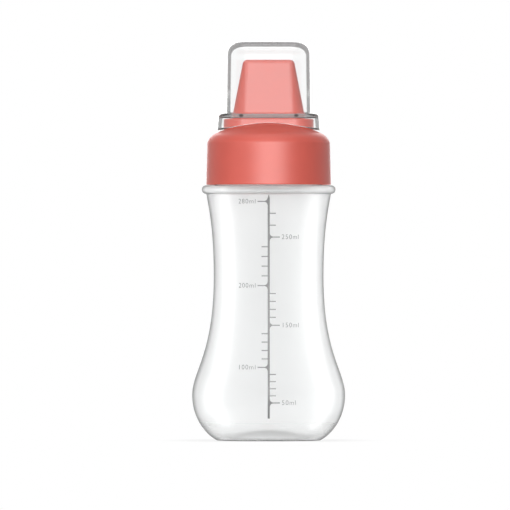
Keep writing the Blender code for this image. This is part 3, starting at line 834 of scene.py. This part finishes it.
def side_points(sizes):
    """The bottle's side from its foot over belly and waist to the shoulder, as three curves."""
    foot = (sizes.foot_radius, 0)
    belly = (sizes.belly_radius, sizes.belly_height)
    waist = (sizes.waist_radius, sizes.waist_height)
    shoulder = (sizes.shoulder_radius, sizes.shoulder_height)
    foot_reach = FOOT_PULL * belly[1]
    lower = waist[1] - belly[1]
    upper = shoulder[1] - waist[1]
    shoulder_reach = SHOULDER_PULL * upper
    from_foot = (foot[0] + foot_reach * cos(sizes.foot_angle), foot_reach * sin(sizes.foot_angle))
    to_belly = (belly[0], belly[1] * (1 - BELLY_LOWER_PULL))
    from_belly = (belly[0], belly[1] + BELLY_UPPER_PULL * lower)
    to_waist = (waist[0], waist[1] - WAIST_LOWER_PULL * lower)
    from_waist = (waist[0], waist[1] + WAIST_UPPER_PULL * upper)
    to_shoulder = (shoulder[0] - shoulder_reach * sin(sizes.shoulder_angle),
                   shoulder[1] - shoulder_reach * cos(sizes.shoulder_angle))
    points = [foot]
    points += curve_points(foot, from_foot, to_belly, belly, SIDE_STEPS)
    points += curve_points(belly, from_belly, to_waist, waist, SIDE_STEPS)
    points += curve_points(waist, from_waist, to_shoulder, shoulder, SIDE_STEPS)
    return points


Bead = namedtuple("Bead", "radius height blend_radius blend_height")


def bead_place(sizes):
    """The middles of the bead's round section and of the blend under it."""
    blend_radius = sizes.shoulder_radius + sizes.bead_blend * cos(sizes.shoulder_angle)
    blend_height = sizes.shoulder_height - sizes.bead_blend * sin(sizes.shoulder_angle)
    radius = sizes.shoulder_radius + sizes.bead_stand_out - sizes.bead_radius
    rise = sqrt((sizes.bead_radius + sizes.bead_blend) ** 2 - (radius - blend_radius) ** 2)
    return Bead(radius, blend_height + rise, blend_radius, blend_height)


def neck_radius(sizes):
    return sizes.shoulder_radius - sizes.shelf_width


def bottle_outline(sizes):
    """The bottle's outside, from the middle of its base up to its rim."""
    bead = bead_place(sizes)
    touch = atan2(bead.height - bead.blend_height, bead.radius - bead.blend_radius)
    neck = neck_radius(sizes)
    shelf = bead.height + sizes.bead_radius
    points = punt_points(sizes) + side_points(sizes)
    points += arc((bead.blend_radius, bead.blend_height), sizes.bead_blend, pi - sizes.shoulder_angle, touch,
                  BLEND_STEPS)[1:]
    points += arc((bead.radius, bead.height), sizes.bead_radius, touch - pi, pi / 2, BEAD_STEPS)[1:]
    points += rounding((neck, shelf), sizes.neck_blend, -pi / 2, -pi, BLEND_STEPS)
    points.append((neck, BOTTLE_BOX[1].z))
    return points


def collar_thread_start():
    """Height at which the collar's ridge starts."""
    sizes = bpy.context.scene.sauce_thread
    return COLLAR_BOX[0].z + sizes.margin + sizes.root_width / 2


class MakeBottle(bpy.types.Operator):
    """Blow the translucent bottle, with its foot, waist, bead and threaded neck"""

    bl_idname = "sauce_bottle.make_bottle"
    bl_label = "Bottle"

    def execute(self, context):
        sizes = context.scene.sauce_bottle
        thread = context.scene.sauce_thread
        bottle = lathe("squeeze_bottle", bottle_outline(sizes))
        self.raise_seam(bottle, sizes)
        apply_modifier(bottle, "SOLIDIFY", thickness=sizes.wall, offset=-1, use_even_offset=True)
        apply_modifier(bottle, "BEVEL", width=sizes.rim_edge, segments=EDGE_STEPS, limit_method="ANGLE",
                       angle_limit=RIM_ANGLE)
        neck = neck_radius(sizes)
        width = (thread.root_width + thread.crest_width) / 2
        start = collar_thread_start() + width + thread.flank_clearance
        ridge = coil_ridge("neck_ridge", neck, neck + thread.height, start, thread.neck_turns)
        combine(bottle, ridge, "UNION")
        tidy_mesh(bottle)
        dress(bottle, milky_plastic("milky_polyethylene"), "bottle_body", "bottle")
        return {"FINISHED"}

    def raise_seam(self, bottle, sizes):
        """Raise the mould's parting line along both sides, between foot and shoulder."""

        def on_seam(co):
            on_side = sizes.seam_foot < co.z < sizes.shoulder_height and abs(co.x) > sizes.foot_radius
            return on_side and abs(co.y) < WELD_DISTANCE

        make_active(bottle)
        edit()
        select_vertices(on_seam)
        bpy.ops.mesh.bevel(offset=sizes.seam_width / 2, segments=2, affect="EDGES", profile=0.5)
        select_vertices(on_seam)
        bpy.ops.transform.shrink_fatten(value=sizes.seam_height)
        leave_edit()


class MakeSealingRing(bpy.types.Operator):
    """Punch the flat silicone ring that seals the bottle's rim"""

    bl_idname = "sauce_bottle.make_sealing_ring"
    bl_label = "Sealing ring"

    def execute(self, context):
        sizes = context.scene.sauce_ring
        bottle = context.scene.sauce_bottle
        outer = RING_BOX[1].x
        inner = neck_radius(bottle) - bottle.wall - sizes.overlap
        low, high = RING_BOX[0].z, RING_BOX[1].z
        outline = rounding((outer, high), sizes.edge, pi / 2, 0, EDGE_STEPS)
        outline += rounding((outer, low), sizes.edge, 0, -pi / 2, EDGE_STEPS)
        outline += rounding((inner, low), sizes.edge, -pi / 2, -pi, EDGE_STEPS)
        outline += rounding((inner, high), sizes.edge, pi, pi / 2, EDGE_STEPS)
        ring = lathe("silicone_ring", outline, closed=True)
        dress(ring, soft_silicone("soft_silicone"), "seal", "sealing_ring")
        return {"FINISHED"}


Dome = namedtuple("Dome", "height arc_radius arc_height meeting")


def dome_place(sizes):
    """The middles of the collar's dome and shoulder arc, and the angle at which the two meet."""
    side_radius = COLLAR_BOX[1].x - sizes.side_height * sin(sizes.draft)
    arc_radius = side_radius - sizes.shoulder_arc * cos(sizes.dome_crease)
    arc_height = COLLAR_BOX[0].z + sizes.side_height - sizes.shoulder_arc * sin(sizes.dome_crease)
    meeting = acos(arc_radius / (sizes.dome_radius - sizes.shoulder_arc))
    height = arc_height - (sizes.dome_radius - sizes.shoulder_arc) * sin(meeting)
    return Dome(height, arc_radius, arc_height, meeting)


class MakeScrewCollar(bpy.types.Operator):
    """Mould the screw collar, with its dome, window and inside thread"""

    bl_idname = "sauce_bottle.make_screw_collar"
    bl_label = "Screw collar"

    def execute(self, context):
        sizes = context.scene.sauce_collar
        thread = context.scene.sauce_thread
        nozzle = context.scene.sauce_nozzle
        collar = lathe("coral_collar", self.outline(sizes))
        window_radius = nozzle.boss_end_radius + sizes.window_clearance
        heights = (NOZZLE_BOX[0].z, COVER_BOX[1].z)
        window = oblong("window", [(nozzle.boss_half_flat, window_radius, height) for height in heights])
        combine(collar, window, "DIFFERENCE")
        self.round_window(collar, sizes, nozzle.boss_half_flat, window_radius)
        crest = neck_radius(context.scene.sauce_bottle) + thread.neck_clearance
        ridge = coil_ridge("collar_ridge", sizes.bore_radius, crest, collar_thread_start(),
                           thread.collar_turns)
        combine(collar, ridge, "UNION")
        tidy_mesh(collar)
        even_shading(collar)
        dress(collar, moulded_coral("coral_plastic"), "cap", "screw_collar")
        return {"FINISHED"}

    def outline(self, sizes):
        """The collar's section, from the top of its dome down the outside and up the inside."""
        dome = dome_place(sizes)
        arc_middle = (dome.arc_radius, dome.arc_height)
        points = arc((0, dome.height), sizes.dome_radius, pi / 2, dome.meeting, DOME_STEPS)

        # The shoulder arc, which a short curve leads over its crease to the side
        blend = sizes.crease_blend
        leave = sizes.dome_crease + blend / sizes.shoulder_arc
        points += arc(arc_middle, sizes.shoulder_arc, dome.meeting, leave, SHOULDER_STEPS)[1:]
        crease = arc(arc_middle, sizes.shoulder_arc, sizes.dome_crease, sizes.dome_crease, 1)[0]
        low = (crease[0] + blend * sin(sizes.draft), crease[1] - blend * cos(sizes.draft))
        points += curve_points(points[-1], crease, crease, low, CREASE_STEPS)

        # The lower edge, the bore, the ledge over the flange and the dome's underside
        base = COLLAR_BOX[0].z
        bore, chamfer = sizes.bore_radius, sizes.ceiling_chamfer
        ceiling = base + sizes.ceiling_height
        ledge = bore - sizes.ceiling_width
        underside = sizes.dome_radius - sizes.dome_thickness
        points += rounding((COLLAR_BOX[1].x, base), sizes.edge, 0, -pi / 2, LIP_STEPS)
        points += [(bore, base), (bore, ceiling - chamfer), (bore - chamfer, ceiling), (ledge, ceiling)]
        points += arc((0, dome.height), underside, acos(ledge / underside), pi / 2, UNDERSIDE_STEPS)
        return points

    def round_window(self, collar, sizes, half_flat, radius):
        """Round the window's upper edge."""
        ceiling = COLLAR_BOX[0].z + sizes.ceiling_height
        dome_height = dome_place(sizes).height

        def on_window(co):
            beyond = max(abs(co.x) - half_flat, 0.0)
            return abs(hypot(beyond, co.y) - radius) < WINDOW_REACH

        def on_dome(co):
            return abs(hypot(co.x, co.y, co.z - dome_height) - sizes.dome_radius) < DOME_REACH

        make_active(collar)
        edit()
        select_vertices(lambda co: co.z > ceiling and on_window(co) and on_dome(co))
        bpy.ops.mesh.bevel(offset=sizes.window_edge, segments=EDGE_STEPS, affect="EDGES", clamp_overlap=False)
        leave_edit()


class MakeNozzle(bpy.types.Operator):
    """Mould the nozzle insert, with its flange, boss, hollow wedge and row of outlets"""

    bl_idname = "sauce_bottle.make_nozzle"
    bl_label = "Nozzle"

    def execute(self, context):
        sizes = context.scene.sauce_nozzle
        base = NOZZLE_BOX[0].z
        boss_top = base + sizes.boss_height
        top = NOZZLE_BOX[1].z
        nozzle = oblong("wedge_nozzle", self.sections(sizes, boss_top, top))
        combine(nozzle, self.flange(sizes, base), "UNION")

        # The hollow, which a funnel narrows from the boss into the wedge
        tip = top - sizes.top_wall
        tip_half_flat, tip_radius = self.wedge(sizes, tip, boss_top, top, sizes.wedge_wall)
        throat_half_flat, throat_radius = self.wedge(sizes, boss_top, boss_top, top, sizes.wedge_wall)
        hollow_radius = sizes.boss_end_radius - sizes.boss_wall
        hollow = oblong("hollow", [(sizes.boss_half_flat, hollow_radius, base - sizes.flange_thickness),
                                   (sizes.boss_half_flat, hollow_radius, boss_top - sizes.funnel_height),
                                   (throat_half_flat, throat_radius, boss_top),
                                   (tip_half_flat, tip_radius, tip)])
        combine(nozzle, hollow, "DIFFERENCE")

        # The outlets, evenly spaced along the hollow
        first = tip_half_flat + tip_radius - sizes.outlet_end_margin
        for index in range(sizes.outlet_count):
            across = first * (2 * index / (sizes.outlet_count - 1) - 1)
            combine(nozzle, self.outlet(sizes, across, tip, top), "DIFFERENCE")
        tidy_mesh(nozzle)
        even_shading(nozzle)
        # The nozzle's coral is a lighter copy of the collar's: painted light, standing in for the brighter
        # light that falls on it
        dress(nozzle, moulded_coral("coral_nozzle_plastic_painted_lighter", shade=1.1), "cap", "nozzle")
        return {"FINISHED"}

    def wedge(self, sizes, height, low, high, inset=0.0):
        """Half flat and end radius of the wedge at a height, moved in by a wall."""
        t = (height - low) / (high - low)
        half_flat = sizes.base_half_flat + (sizes.top_half_flat - sizes.base_half_flat) * t
        return half_flat, sizes.base_end_radius + (sizes.top_end_radius - sizes.base_end_radius) * t - inset

    def sections(self, sizes, boss_top, top):
        """The boss and the wedge, from inside the flange up to the wedge's top."""
        flat, radius = sizes.boss_half_flat, sizes.boss_end_radius
        sections = [(flat, radius, NOZZLE_BOX[0].z + sizes.flange_thickness / 2)]
        sections += oblong_sections(flat, rounding((radius, boss_top), sizes.boss_edge, 0, pi / 2, LIP_STEPS))
        flat, radius = self.wedge(sizes, boss_top, boss_top, top)
        root = rounding((radius, boss_top), sizes.root_blend, -pi / 2, -pi, LIP_STEPS)
        sections += oblong_sections(flat, root)
        for across, up in rounding((0, 0), sizes.top_edge, 0, pi / 2, CORNER_STEPS):
            flat, radius = self.wedge(sizes, top + up, boss_top, top)
            sections.append((flat, radius + across, top + up))
        return sections

    def flange(self, sizes, base):
        """The round disc that the collar clamps."""
        radius, top = NOZZLE_BOX[1].x, base + sizes.flange_thickness
        outline = [(0, top)]
        outline += rounding((radius, top), sizes.flange_edge, pi / 2, 0, EDGE_STEPS)
        outline += rounding((radius, base), sizes.flange_edge, 0, -pi / 2, EDGE_STEPS)
        outline.append((0, base))
        return lathe("flange", outline)

    def outlet(self, sizes, across, tip, top):
        """A cutter for one outlet, wider at its mouth for the chamfer."""
        radius, edge = sizes.outlet_diameter / 2, sizes.outlet_edge
        low = tip - sizes.top_wall
        outline = [(0, top + edge), (radius + 2 * edge, top + edge), (radius, top - edge), (radius, low),
                   (0, low)]
        cutter = lathe("outlet", outline, steps=OUTLET_STEPS)
        make_active(cutter)
        edit()
        select_all()
        bpy.ops.transform.translate(value=(across, 0, 0))
        leave_edit()
        return cutter


def plate_height(sizes, nozzle):
    """Height of the underside of the dust cover's plate."""
    return NOZZLE_BOX[0].z + nozzle.boss_height + sizes.seat_gap


def skirt_radius(sizes, nozzle):
    """Outer radius of the ends of the dust cover's skirt, under the plate."""
    return nozzle.boss_end_radius + sizes.skirt_clearance + sizes.skirt_wall


class MakeDustCover(bpy.types.Operator):
    """Mould the clear dust cover, with its closed tube, plate and skirt"""

    bl_idname = "sauce_bottle.make_dust_cover"
    bl_label = "Dust cover"

    def execute(self, context):
        sizes = context.scene.sauce_cover
        nozzle = context.scene.sauce_nozzle
        plate = plate_height(sizes, nozzle)
        cover = oblong("clear_dust_cover", self.sections(sizes, nozzle, plate))
        self.scribe_skirt(cover, sizes, nozzle)
        tidy_mesh(cover)
        even_shading(cover)

        # The light that the coral scatters passes the clear cover as if it weren't there
        cover.visible_diffuse = False
        dress(cover, clear_plastic("clear_styrene"), "cover", "dust_cover")
        return {"FINISHED"}

    def sections(self, sizes, nozzle, plate):
        """The shell, from the middle of its top down the outside and up the inside."""
        top, low = COVER_BOX[1].z, COVER_BOX[0].z
        deck = plate + sizes.plate_thickness
        flat, wide_flat = nozzle.base_half_flat, nozzle.boss_half_flat
        lip = sizes.lip

        # The tube, which leans in towards its top
        taper = sin(sizes.tube_draft)
        foot = nozzle.base_end_radius + sizes.tube_clearance + sizes.tube_wall
        head = foot - (top - deck) * taper
        head_edge = rounding((0, 0), sizes.tube_top_edge, pi / 2, 0, TUBE_TOP_STEPS)
        sections = [(flat, head + across - up * taper, top + up) for across, up in head_edge]
        root = rounding((foot, deck), sizes.root_blend, pi, 1.5 * pi, LIP_STEPS)
        sections += oblong_sections(flat, root)

        # The plate and the skirt, down to a straight lower edge
        skirt = skirt_radius(sizes, nozzle)
        outer = skirt + (plate - low) * sin(sizes.skirt_draft)
        inner = outer - sizes.skirt_wall
        points = rounding((skirt, deck), sizes.skirt_edge, pi / 2, 0, CORNER_STEPS)
        points += rounding((outer, low), lip, 0, -pi / 2, LIP_STEPS)
        points += rounding((inner, low), lip, -pi / 2, -pi, LIP_STEPS)
        points.append((skirt - sizes.skirt_wall, plate))
        sections += oblong_sections(wide_flat, points)

        # The inside of the tube
        mouth = rounding((foot - sizes.tube_wall, plate), lip, -pi / 2, -pi, LIP_STEPS)
        sections += oblong_sections(flat, mouth)
        ceiling = top - sizes.tube_top_wall
        inner_head = head - sizes.tube_wall
        inner_edge = rounding((0, 0), sizes.tube_top_edge - sizes.tube_wall, 0, pi / 2, TUBE_CEILING_STEPS)
        sections += [(flat, inner_head + across - up * taper, ceiling + up) for across, up in inner_edge]
        return sections

    def scribe_skirt(self, cover, sizes, nozzle):
        """Lift the skirt's lower edge to follow the collar's dome, on a ball of its own."""
        collar = bpy.context.scene.sauce_collar
        dome_height = dome_place(collar).height

        def dome(radius):
            return dome_height + sqrt(collar.dome_radius ** 2 - radius ** 2)

        # The ball's centre lies on the axis, so far down that both gaps over the dome come out right
        skirt = skirt_radius(sizes, nozzle)
        reach = skirt + nozzle.boss_half_flat
        front = dome(skirt) + sizes.skirt_front_gap
        fall = front - dome(reach) - sizes.skirt_end_gap
        centre_drop = (reach ** 2 - skirt ** 2 + fall ** 2) / (2 * fall)
        ball = hypot(skirt, centre_drop)
        foot = COVER_BOX[0].z
        half_flat = nozzle.boss_half_flat
        make_active(cover)
        edit()
        slice_piece([(half_flat * (2 * index / SKIRT_CUTS - 1), 0, 0) for index in range(1, SKIRT_CUTS)],
                    (1, 0, 0))
        mesh = bmesh.from_edit_mesh(cover.data)
        for vertex in mesh.verts:
            if vertex.co.z < foot + sizes.lip + WELD_DISTANCE:
                radius = hypot(vertex.co.x, vertex.co.y)
                vertex.co.z += front - centre_drop + sqrt(ball ** 2 - radius ** 2) - foot
        bmesh.update_edit_mesh(cover.data)
        leave_edit()


class MakeMeasuringScale(bpy.types.Operator):
    """Print the millilitre scale on the bottle's front"""

    bl_idname = "sauce_bottle.make_measuring_scale"
    bl_label = "Measuring scale"

    # Millilitres and height of each long mark, and millilitres between two marks
    LONG_MARKS = ((50, 0.0183), (100, 0.0351), (150, 0.0550), (200, 0.0738), (250, 0.0968), (280, 0.1137))
    MARK_STEP = 10

    # Shares at which a long mark's flare, and the rest of the mark, is cut across
    FLARE_CUTS = (0.12, 0.28, 0.46, 0.68, 1.0)
    REST_CUTS = (0.33, 0.67)

    def execute(self, context):
        sizes = context.scene.sauce_scale
        pieces = [self.upright(sizes)]
        for index, (volume, height) in enumerate(self.LONG_MARKS):
            side = 1 - 2 * (index % 2)
            pieces.append(self.long_mark(sizes, side, height))
            pieces.append(self.number(sizes, side, height, "%dml" % volume))

            # The short marks up to the next long one, where there is one
            for next_volume, next_height in self.LONG_MARKS[index + 1:index + 2]:
                count = (next_volume - volume) // self.MARK_STEP
                for step in range(1, count):
                    rise = (next_height - height) * step / count
                    pieces.append(self.short_mark(sizes, side, height + rise))

        clear_selection()
        for piece in pieces:
            piece.select_set(True)
        bpy.context.view_layer.objects.active = pieces[0]
        bpy.ops.object.join()
        scale = bpy.context.object
        self.wrap(scale, context.scene.sauce_bottle, sizes)
        dress(scale, grey_ink("grey_ink"), "bottle_body")
        return {"FINISHED"}

    def sheet(self, name, width, height, across, up):
        """A flat rectangle that faces the front, in edit mode."""
        clear_selection()
        bpy.ops.mesh.primitive_plane_add(size=1, location=(across, 0, up), rotation=(pi / 2, 0, 0))
        bpy.context.object.scale = (width, height, 1)
        piece = new_piece(name)
        edit()
        return piece

    def upright(self, sizes):
        """The long line, narrower at its upper end."""
        foot, span = sizes.foot, sizes.head - sizes.foot
        piece = self.sheet("measuring_scale", sizes.line_width, span, 0, (foot + sizes.head) / 2)
        slice_piece([(0, 0, foot + span * index / LINE_CUTS) for index in range(1, LINE_CUTS)], (0, 0, 1))
        select_vertices(lambda co: co.z > sizes.head - WELD_DISTANCE)
        bpy.ops.transform.resize(value=(sizes.line_tip, 1, 1), center_override=(0, 0, sizes.head))
        leave_edit()
        return piece

    def mark(self, sizes, side, height, span, cuts):
        """A mark beside the line, in edit mode, cut across at some places so that it can bend."""
        start = sizes.line_width / 2
        piece = self.sheet("mark", span, sizes.mark_width, side * (start + span / 2), height)
        slice_piece([(side * (start + cut), 0, 0) for cut in cuts], (1, 0, 0))
        return piece

    def short_mark(self, sizes, side, height):
        """A plain mark between two numbers."""
        span = sizes.short_mark - sizes.line_width / 2
        cuts = [span * index / MARK_CUTS for index in range(1, MARK_CUTS)]
        piece = self.mark(sizes, side, height, span, cuts)
        leave_edit()
        return piece

    def long_mark(self, sizes, side, height):
        """A mark whose inner end flares out into the upright line."""
        start, flare, half_width = sizes.line_width / 2, sizes.flare, sizes.mark_width / 2
        span = sizes.long_mark - start
        flare_cuts = [flare * cut for cut in self.FLARE_CUTS]
        rest_cuts = [flare + (span - flare) * cut for cut in self.REST_CUTS]
        piece = self.mark(sizes, side, height, span, flare_cuts + rest_cuts)
        for cut in [0.0] + flare_cuts[:-1]:
            t = 1 - cut / flare
            spread = flare * (1 - sqrt(max(0.0, 1 - t ** 2)))
            growth = (half_width + spread) / half_width
            select_vertices(lambda co: abs(abs(co.x) - start - cut) < WELD_DISTANCE)
            bpy.ops.transform.resize(value=(1, 1, growth), center_override=(0, 0, height))
        leave_edit()
        return piece

    def number(self, sizes, side, height, words):
        """A label beside a long mark, set from the mark outwards."""
        clear_selection()
        bpy.ops.object.text_add(location=(side * (sizes.long_mark + sizes.number_gap), 0, height),
                                rotation=(pi / 2, 0, 0))
        label = bpy.context.object
        label.data.body = words
        label.data.size = sizes.number_size
        label.data.space_character = sizes.number_spacing
        label.data.offset = -sizes.number_thinning
        label.data.align_x = "LEFT" if side > 0 else "RIGHT"
        label.data.align_y = "CENTER"
        label.data.resolution_u = NUMBER_STEPS
        bpy.ops.object.convert(target="MESH")
        return new_piece("number")

    def wrap(self, scale, bottle, sizes):
        """Roll the flat print round the bottle's front, and give it the ink's thickness."""
        side = side_points(bottle)

        def wall(height):
            for (radius, low), (next_radius, high) in zip(side, side[1:]):
                if low <= height <= high:
                    return radius + (next_radius - radius) * (height - low) / (high - low)
            return side[-1][0]

        make_active(scale)
        edit()
        mesh = bmesh.from_edit_mesh(scale.data)
        for vertex in mesh.verts:
            radius = wall(vertex.co.z) + sizes.ink_lift
            turn = vertex.co.x / radius
            vertex.co = Vector((radius * sin(turn), -radius * cos(turn), vertex.co.z))
        bmesh.update_edit_mesh(scale.data)
        select_all()
        bpy.ops.mesh.normals_make_consistent(inside=False)
        leave_edit()
        apply_modifier(scale, "SOLIDIFY", thickness=sizes.ink_thickness, offset=0)
        tidy_mesh(scale)


class MakeStudio(bpy.types.Operator):
    """Set up the floor, the soft lights, the white surroundings and the camera"""

    bl_idname = "sauce_bottle.make_studio"
    bl_label = "Studio"

    def execute(self, context):
        studio = context.scene.sauce_studio
        self.floor(studio)
        self.world(context.scene, studio)
        self.lights(studio)
        self.camera(context.scene, studio)
        context.scene.view_settings.view_transform = "Standard"
        return {"FINISHED"}

    def lights(self, studio):
        """Softboxes round the bottle, most of them for some pieces alone."""
        key = self.softbox("key_softbox", studio.key_light, azimuth=3, elevation=6, distance=1.6, width=1.56,
                           height=0.86)
        gloss = self.softbox("gloss_softbox", studio.gloss_light, azimuth=3, elevation=17, distance=1.6,
                             width=1.56, height=1.4)
        gloss.visible_diffuse = False

        # Softboxes of one place and four widths, which together fade out to both sides
        widths = (0.2, 0.5, 0.8, 1.1)
        sheen = [self.softbox("cover_softbox", studio.cover_light / len(widths), azimuth=0, elevation=6,
                              distance=1.6, width=width, height=1.2) for width in widths]
        back = self.softbox("back_softbox", studio.back_light, azimuth=180, elevation=15, distance=1.6,
                            width=1.2, height=1.2)
        back.visible_transmission = False
        fill = self.softbox("fill_softbox", studio.fill_light, azimuth=-50, elevation=20, distance=1.2,
                            width=1.2, height=0.8)
        veil = self.softbox("veil_softbox", studio.veil_light, azimuth=0, elevation=-45, distance=1.6,
                            width=4.0, height=2.0)
        left = self.softbox("left_softbox", studio.left_light, azimuth=-90, elevation=-6, distance=0.9,
                            width=0.4, height=1.8)
        right = self.softbox("right_softbox", studio.right_light, azimuth=100, elevation=-3, distance=0.9,
                             width=0.5, height=2.0)
        self.softbox("top_softbox", studio.top_light, azimuth=0, elevation=80, distance=1.4, width=1.2,
                     height=1.2)
        self.light_only("side_lit", (left, right), ("squeeze_bottle",))
        self.light_only("veil_lit", (veil,), ("squeeze_bottle", "clear_dust_cover"))
        self.light_only("cover_lit", sheen, ("clear_dust_cover",))
        self.light_only("fill_lit", (fill,), (*CAP_PIECES, "floor"))
        self.light_only("back_lit", (back,), (*CAP_PIECES, "clear_dust_cover", "floor"))
        self.light_only("key_lit", (key, gloss), (*CAP_PIECES, "measuring_scale", "floor"))

    def floor(self, studio):
        """A pale floor that looks white, keeps some real shadow and some painted shade at the foot and is
        clear from below.
        """
        clear_selection()
        bpy.ops.mesh.primitive_plane_add(size=studio.floor_size, location=(0, 0, -studio.floor_gap))
        floor = new_piece("floor")
        finish = Finish(bpy.data.materials.new("pale_floor"))
        from_axis = finish.node("ShaderNodeVectorMath", finish.point(), settings={"operation": "LENGTH"},
                                output="Value")
        # Near the foot a share of the floor's own dimmer colour shows: it keeps the real shadow, and is also
        # painted shade, darker round the foot even where no shadow falls
        near = 1 - from_axis.ramp(studio.contact_start, studio.contact_end)
        white = 1 - studio.contact_shade * near * finish.ray("Is Camera Ray")
        glow = finish.node("ShaderNodeEmission", grey(1.0), 1.0)
        above = finish.over(self.seen(finish) * white, finish.matt(studio.floor_shade), glow)
        below = finish.dimmed(1.0)
        floor.data.materials.append(finish.surface(finish.over(finish.backfacing(), above, below)))
        floor.visible_shadow = floor.visible_glossy = False

    def seen(self, finish):
        """1 for the rays that the camera sends, straight or by way of gloss and clear plastic."""
        seen = finish.ray("Is Camera Ray") + finish.ray("Is Glossy Ray") + finish.ray("Is Transmission Ray")
        return seen.at_most(1.0) * finish.ray("Diffuse Depth").below(0.5)

    def world(self, scene, studio):
        """Surroundings that look white and give a little light."""
        scene.world = bpy.data.worlds.new("white_surroundings")
        finish = Finish(scene.world)
        strength = studio.room_light + (1 - studio.room_light) * self.seen(finish)
        glow = finish.node("ShaderNodeBackground", grey(1.0), strength)
        finish.node("ShaderNodeOutputWorld", glow)

    def softbox(self, name, strength, azimuth, elevation, distance, width, height):
        """A soft light that looks at the bottle's middle, azimuth 0 in front and 90 on the right."""
        clear_selection()
        aim = Vector((0, 0, CAD_BOX[1].z / 2))
        around, up = radians(azimuth), radians(elevation)
        place = aim + distance * Vector((sin(around) * cos(up), -cos(around) * cos(up), sin(up)))
        turn = (aim - place).to_track_quat("-Z", "Y").to_euler()
        bpy.ops.object.light_add(type="AREA", location=place, rotation=turn)
        softbox = bpy.context.object
        softbox.name = softbox.data.name = name
        softbox.data.shape = "RECTANGLE"
        softbox.data.size = width
        softbox.data.size_y = height
        softbox.data.energy = strength * pi * width * height
        softbox.visible_camera = False
        return softbox

    def light_only(self, name, softboxes, pieces):
        """Let some softboxes light some pieces alone."""
        receivers = bpy.data.collections.new(name)
        for piece in pieces:
            receivers.objects.link(bpy.data.objects[piece])
        for softbox in softboxes:
            softbox.light_linking.receiver_collection = receivers

    def camera(self, scene, studio):
        """A level camera in front, with the frame's height in the plane of the bottle's axis."""
        clear_selection()
        place = (studio.aim_x, -studio.distance, studio.aim_z)
        bpy.ops.object.camera_add(location=place, rotation=(pi / 2, 0, 0))
        camera = bpy.context.object
        camera.name = camera.data.name = "front_camera"
        camera.data.sensor_width = SENSOR_WIDTH
        camera.data.lens = SENSOR_WIDTH * studio.distance / studio.frame_height
        camera.data.clip_end = CLIP_END
        scene.camera = camera


GROUPS = {"sauce_bottle": BottleSizes, "sauce_thread": ThreadSizes, "sauce_ring": RingSizes,
          "sauce_collar": CollarSizes, "sauce_nozzle": NozzleSizes, "sauce_cover": CoverSizes,
          "sauce_scale": ScaleSizes, "sauce_finishes": Finishes, "sauce_studio": StudioSizes}
OPERATORS = (MakeBottle, MakeSealingRing, MakeScrewCollar, MakeNozzle, MakeDustCover, MakeMeasuringScale,
             MakeStudio)


class SauceBottlePanel(bpy.types.Panel):
    """The pieces of the bottle, in the order in which they are made"""

    bl_idname = "VIEW3D_PT_sauce_bottle"
    bl_label = "Squeeze sauce bottle"
    bl_space_type = "VIEW_3D"
    bl_region_type = "UI"
    bl_category = "Sauce bottle"

    def draw(self, context):
        for operator in OPERATORS:
            self.layout.operator(operator.bl_idname)
        for name, group in GROUPS.items():
            box = self.layout.box()
            for field in group.__annotations__:
                box.prop(getattr(context.scene, name), field)


def register():
    for group in GROUPS.values():
        bpy.utils.register_class(group)
    for name, group in GROUPS.items():
        setattr(bpy.types.Scene, name, bpy.props.PointerProperty(type=group))
    for made in (*OPERATORS, SauceBottlePanel):
        bpy.utils.register_class(made)


def unregister():
    for made in (SauceBottlePanel, *reversed(OPERATORS)):
        bpy.utils.unregister_class(made)
    for name in GROUPS:
        delattr(bpy.types.Scene, name)
    for group in reversed(GROUPS.values()):
        bpy.utils.unregister_class(group)


def main():
    register()
    bpy.ops.sauce_bottle.make_bottle()
    bpy.ops.sauce_bottle.make_sealing_ring()
    bpy.ops.sauce_bottle.make_screw_collar()
    bpy.ops.sauce_bottle.make_nozzle()
    bpy.ops.sauce_bottle.make_dust_cover()
    bpy.ops.sauce_bottle.make_measuring_scale()
    bpy.ops.sauce_bottle.make_studio()


if __name__ == "__main__":
    main()
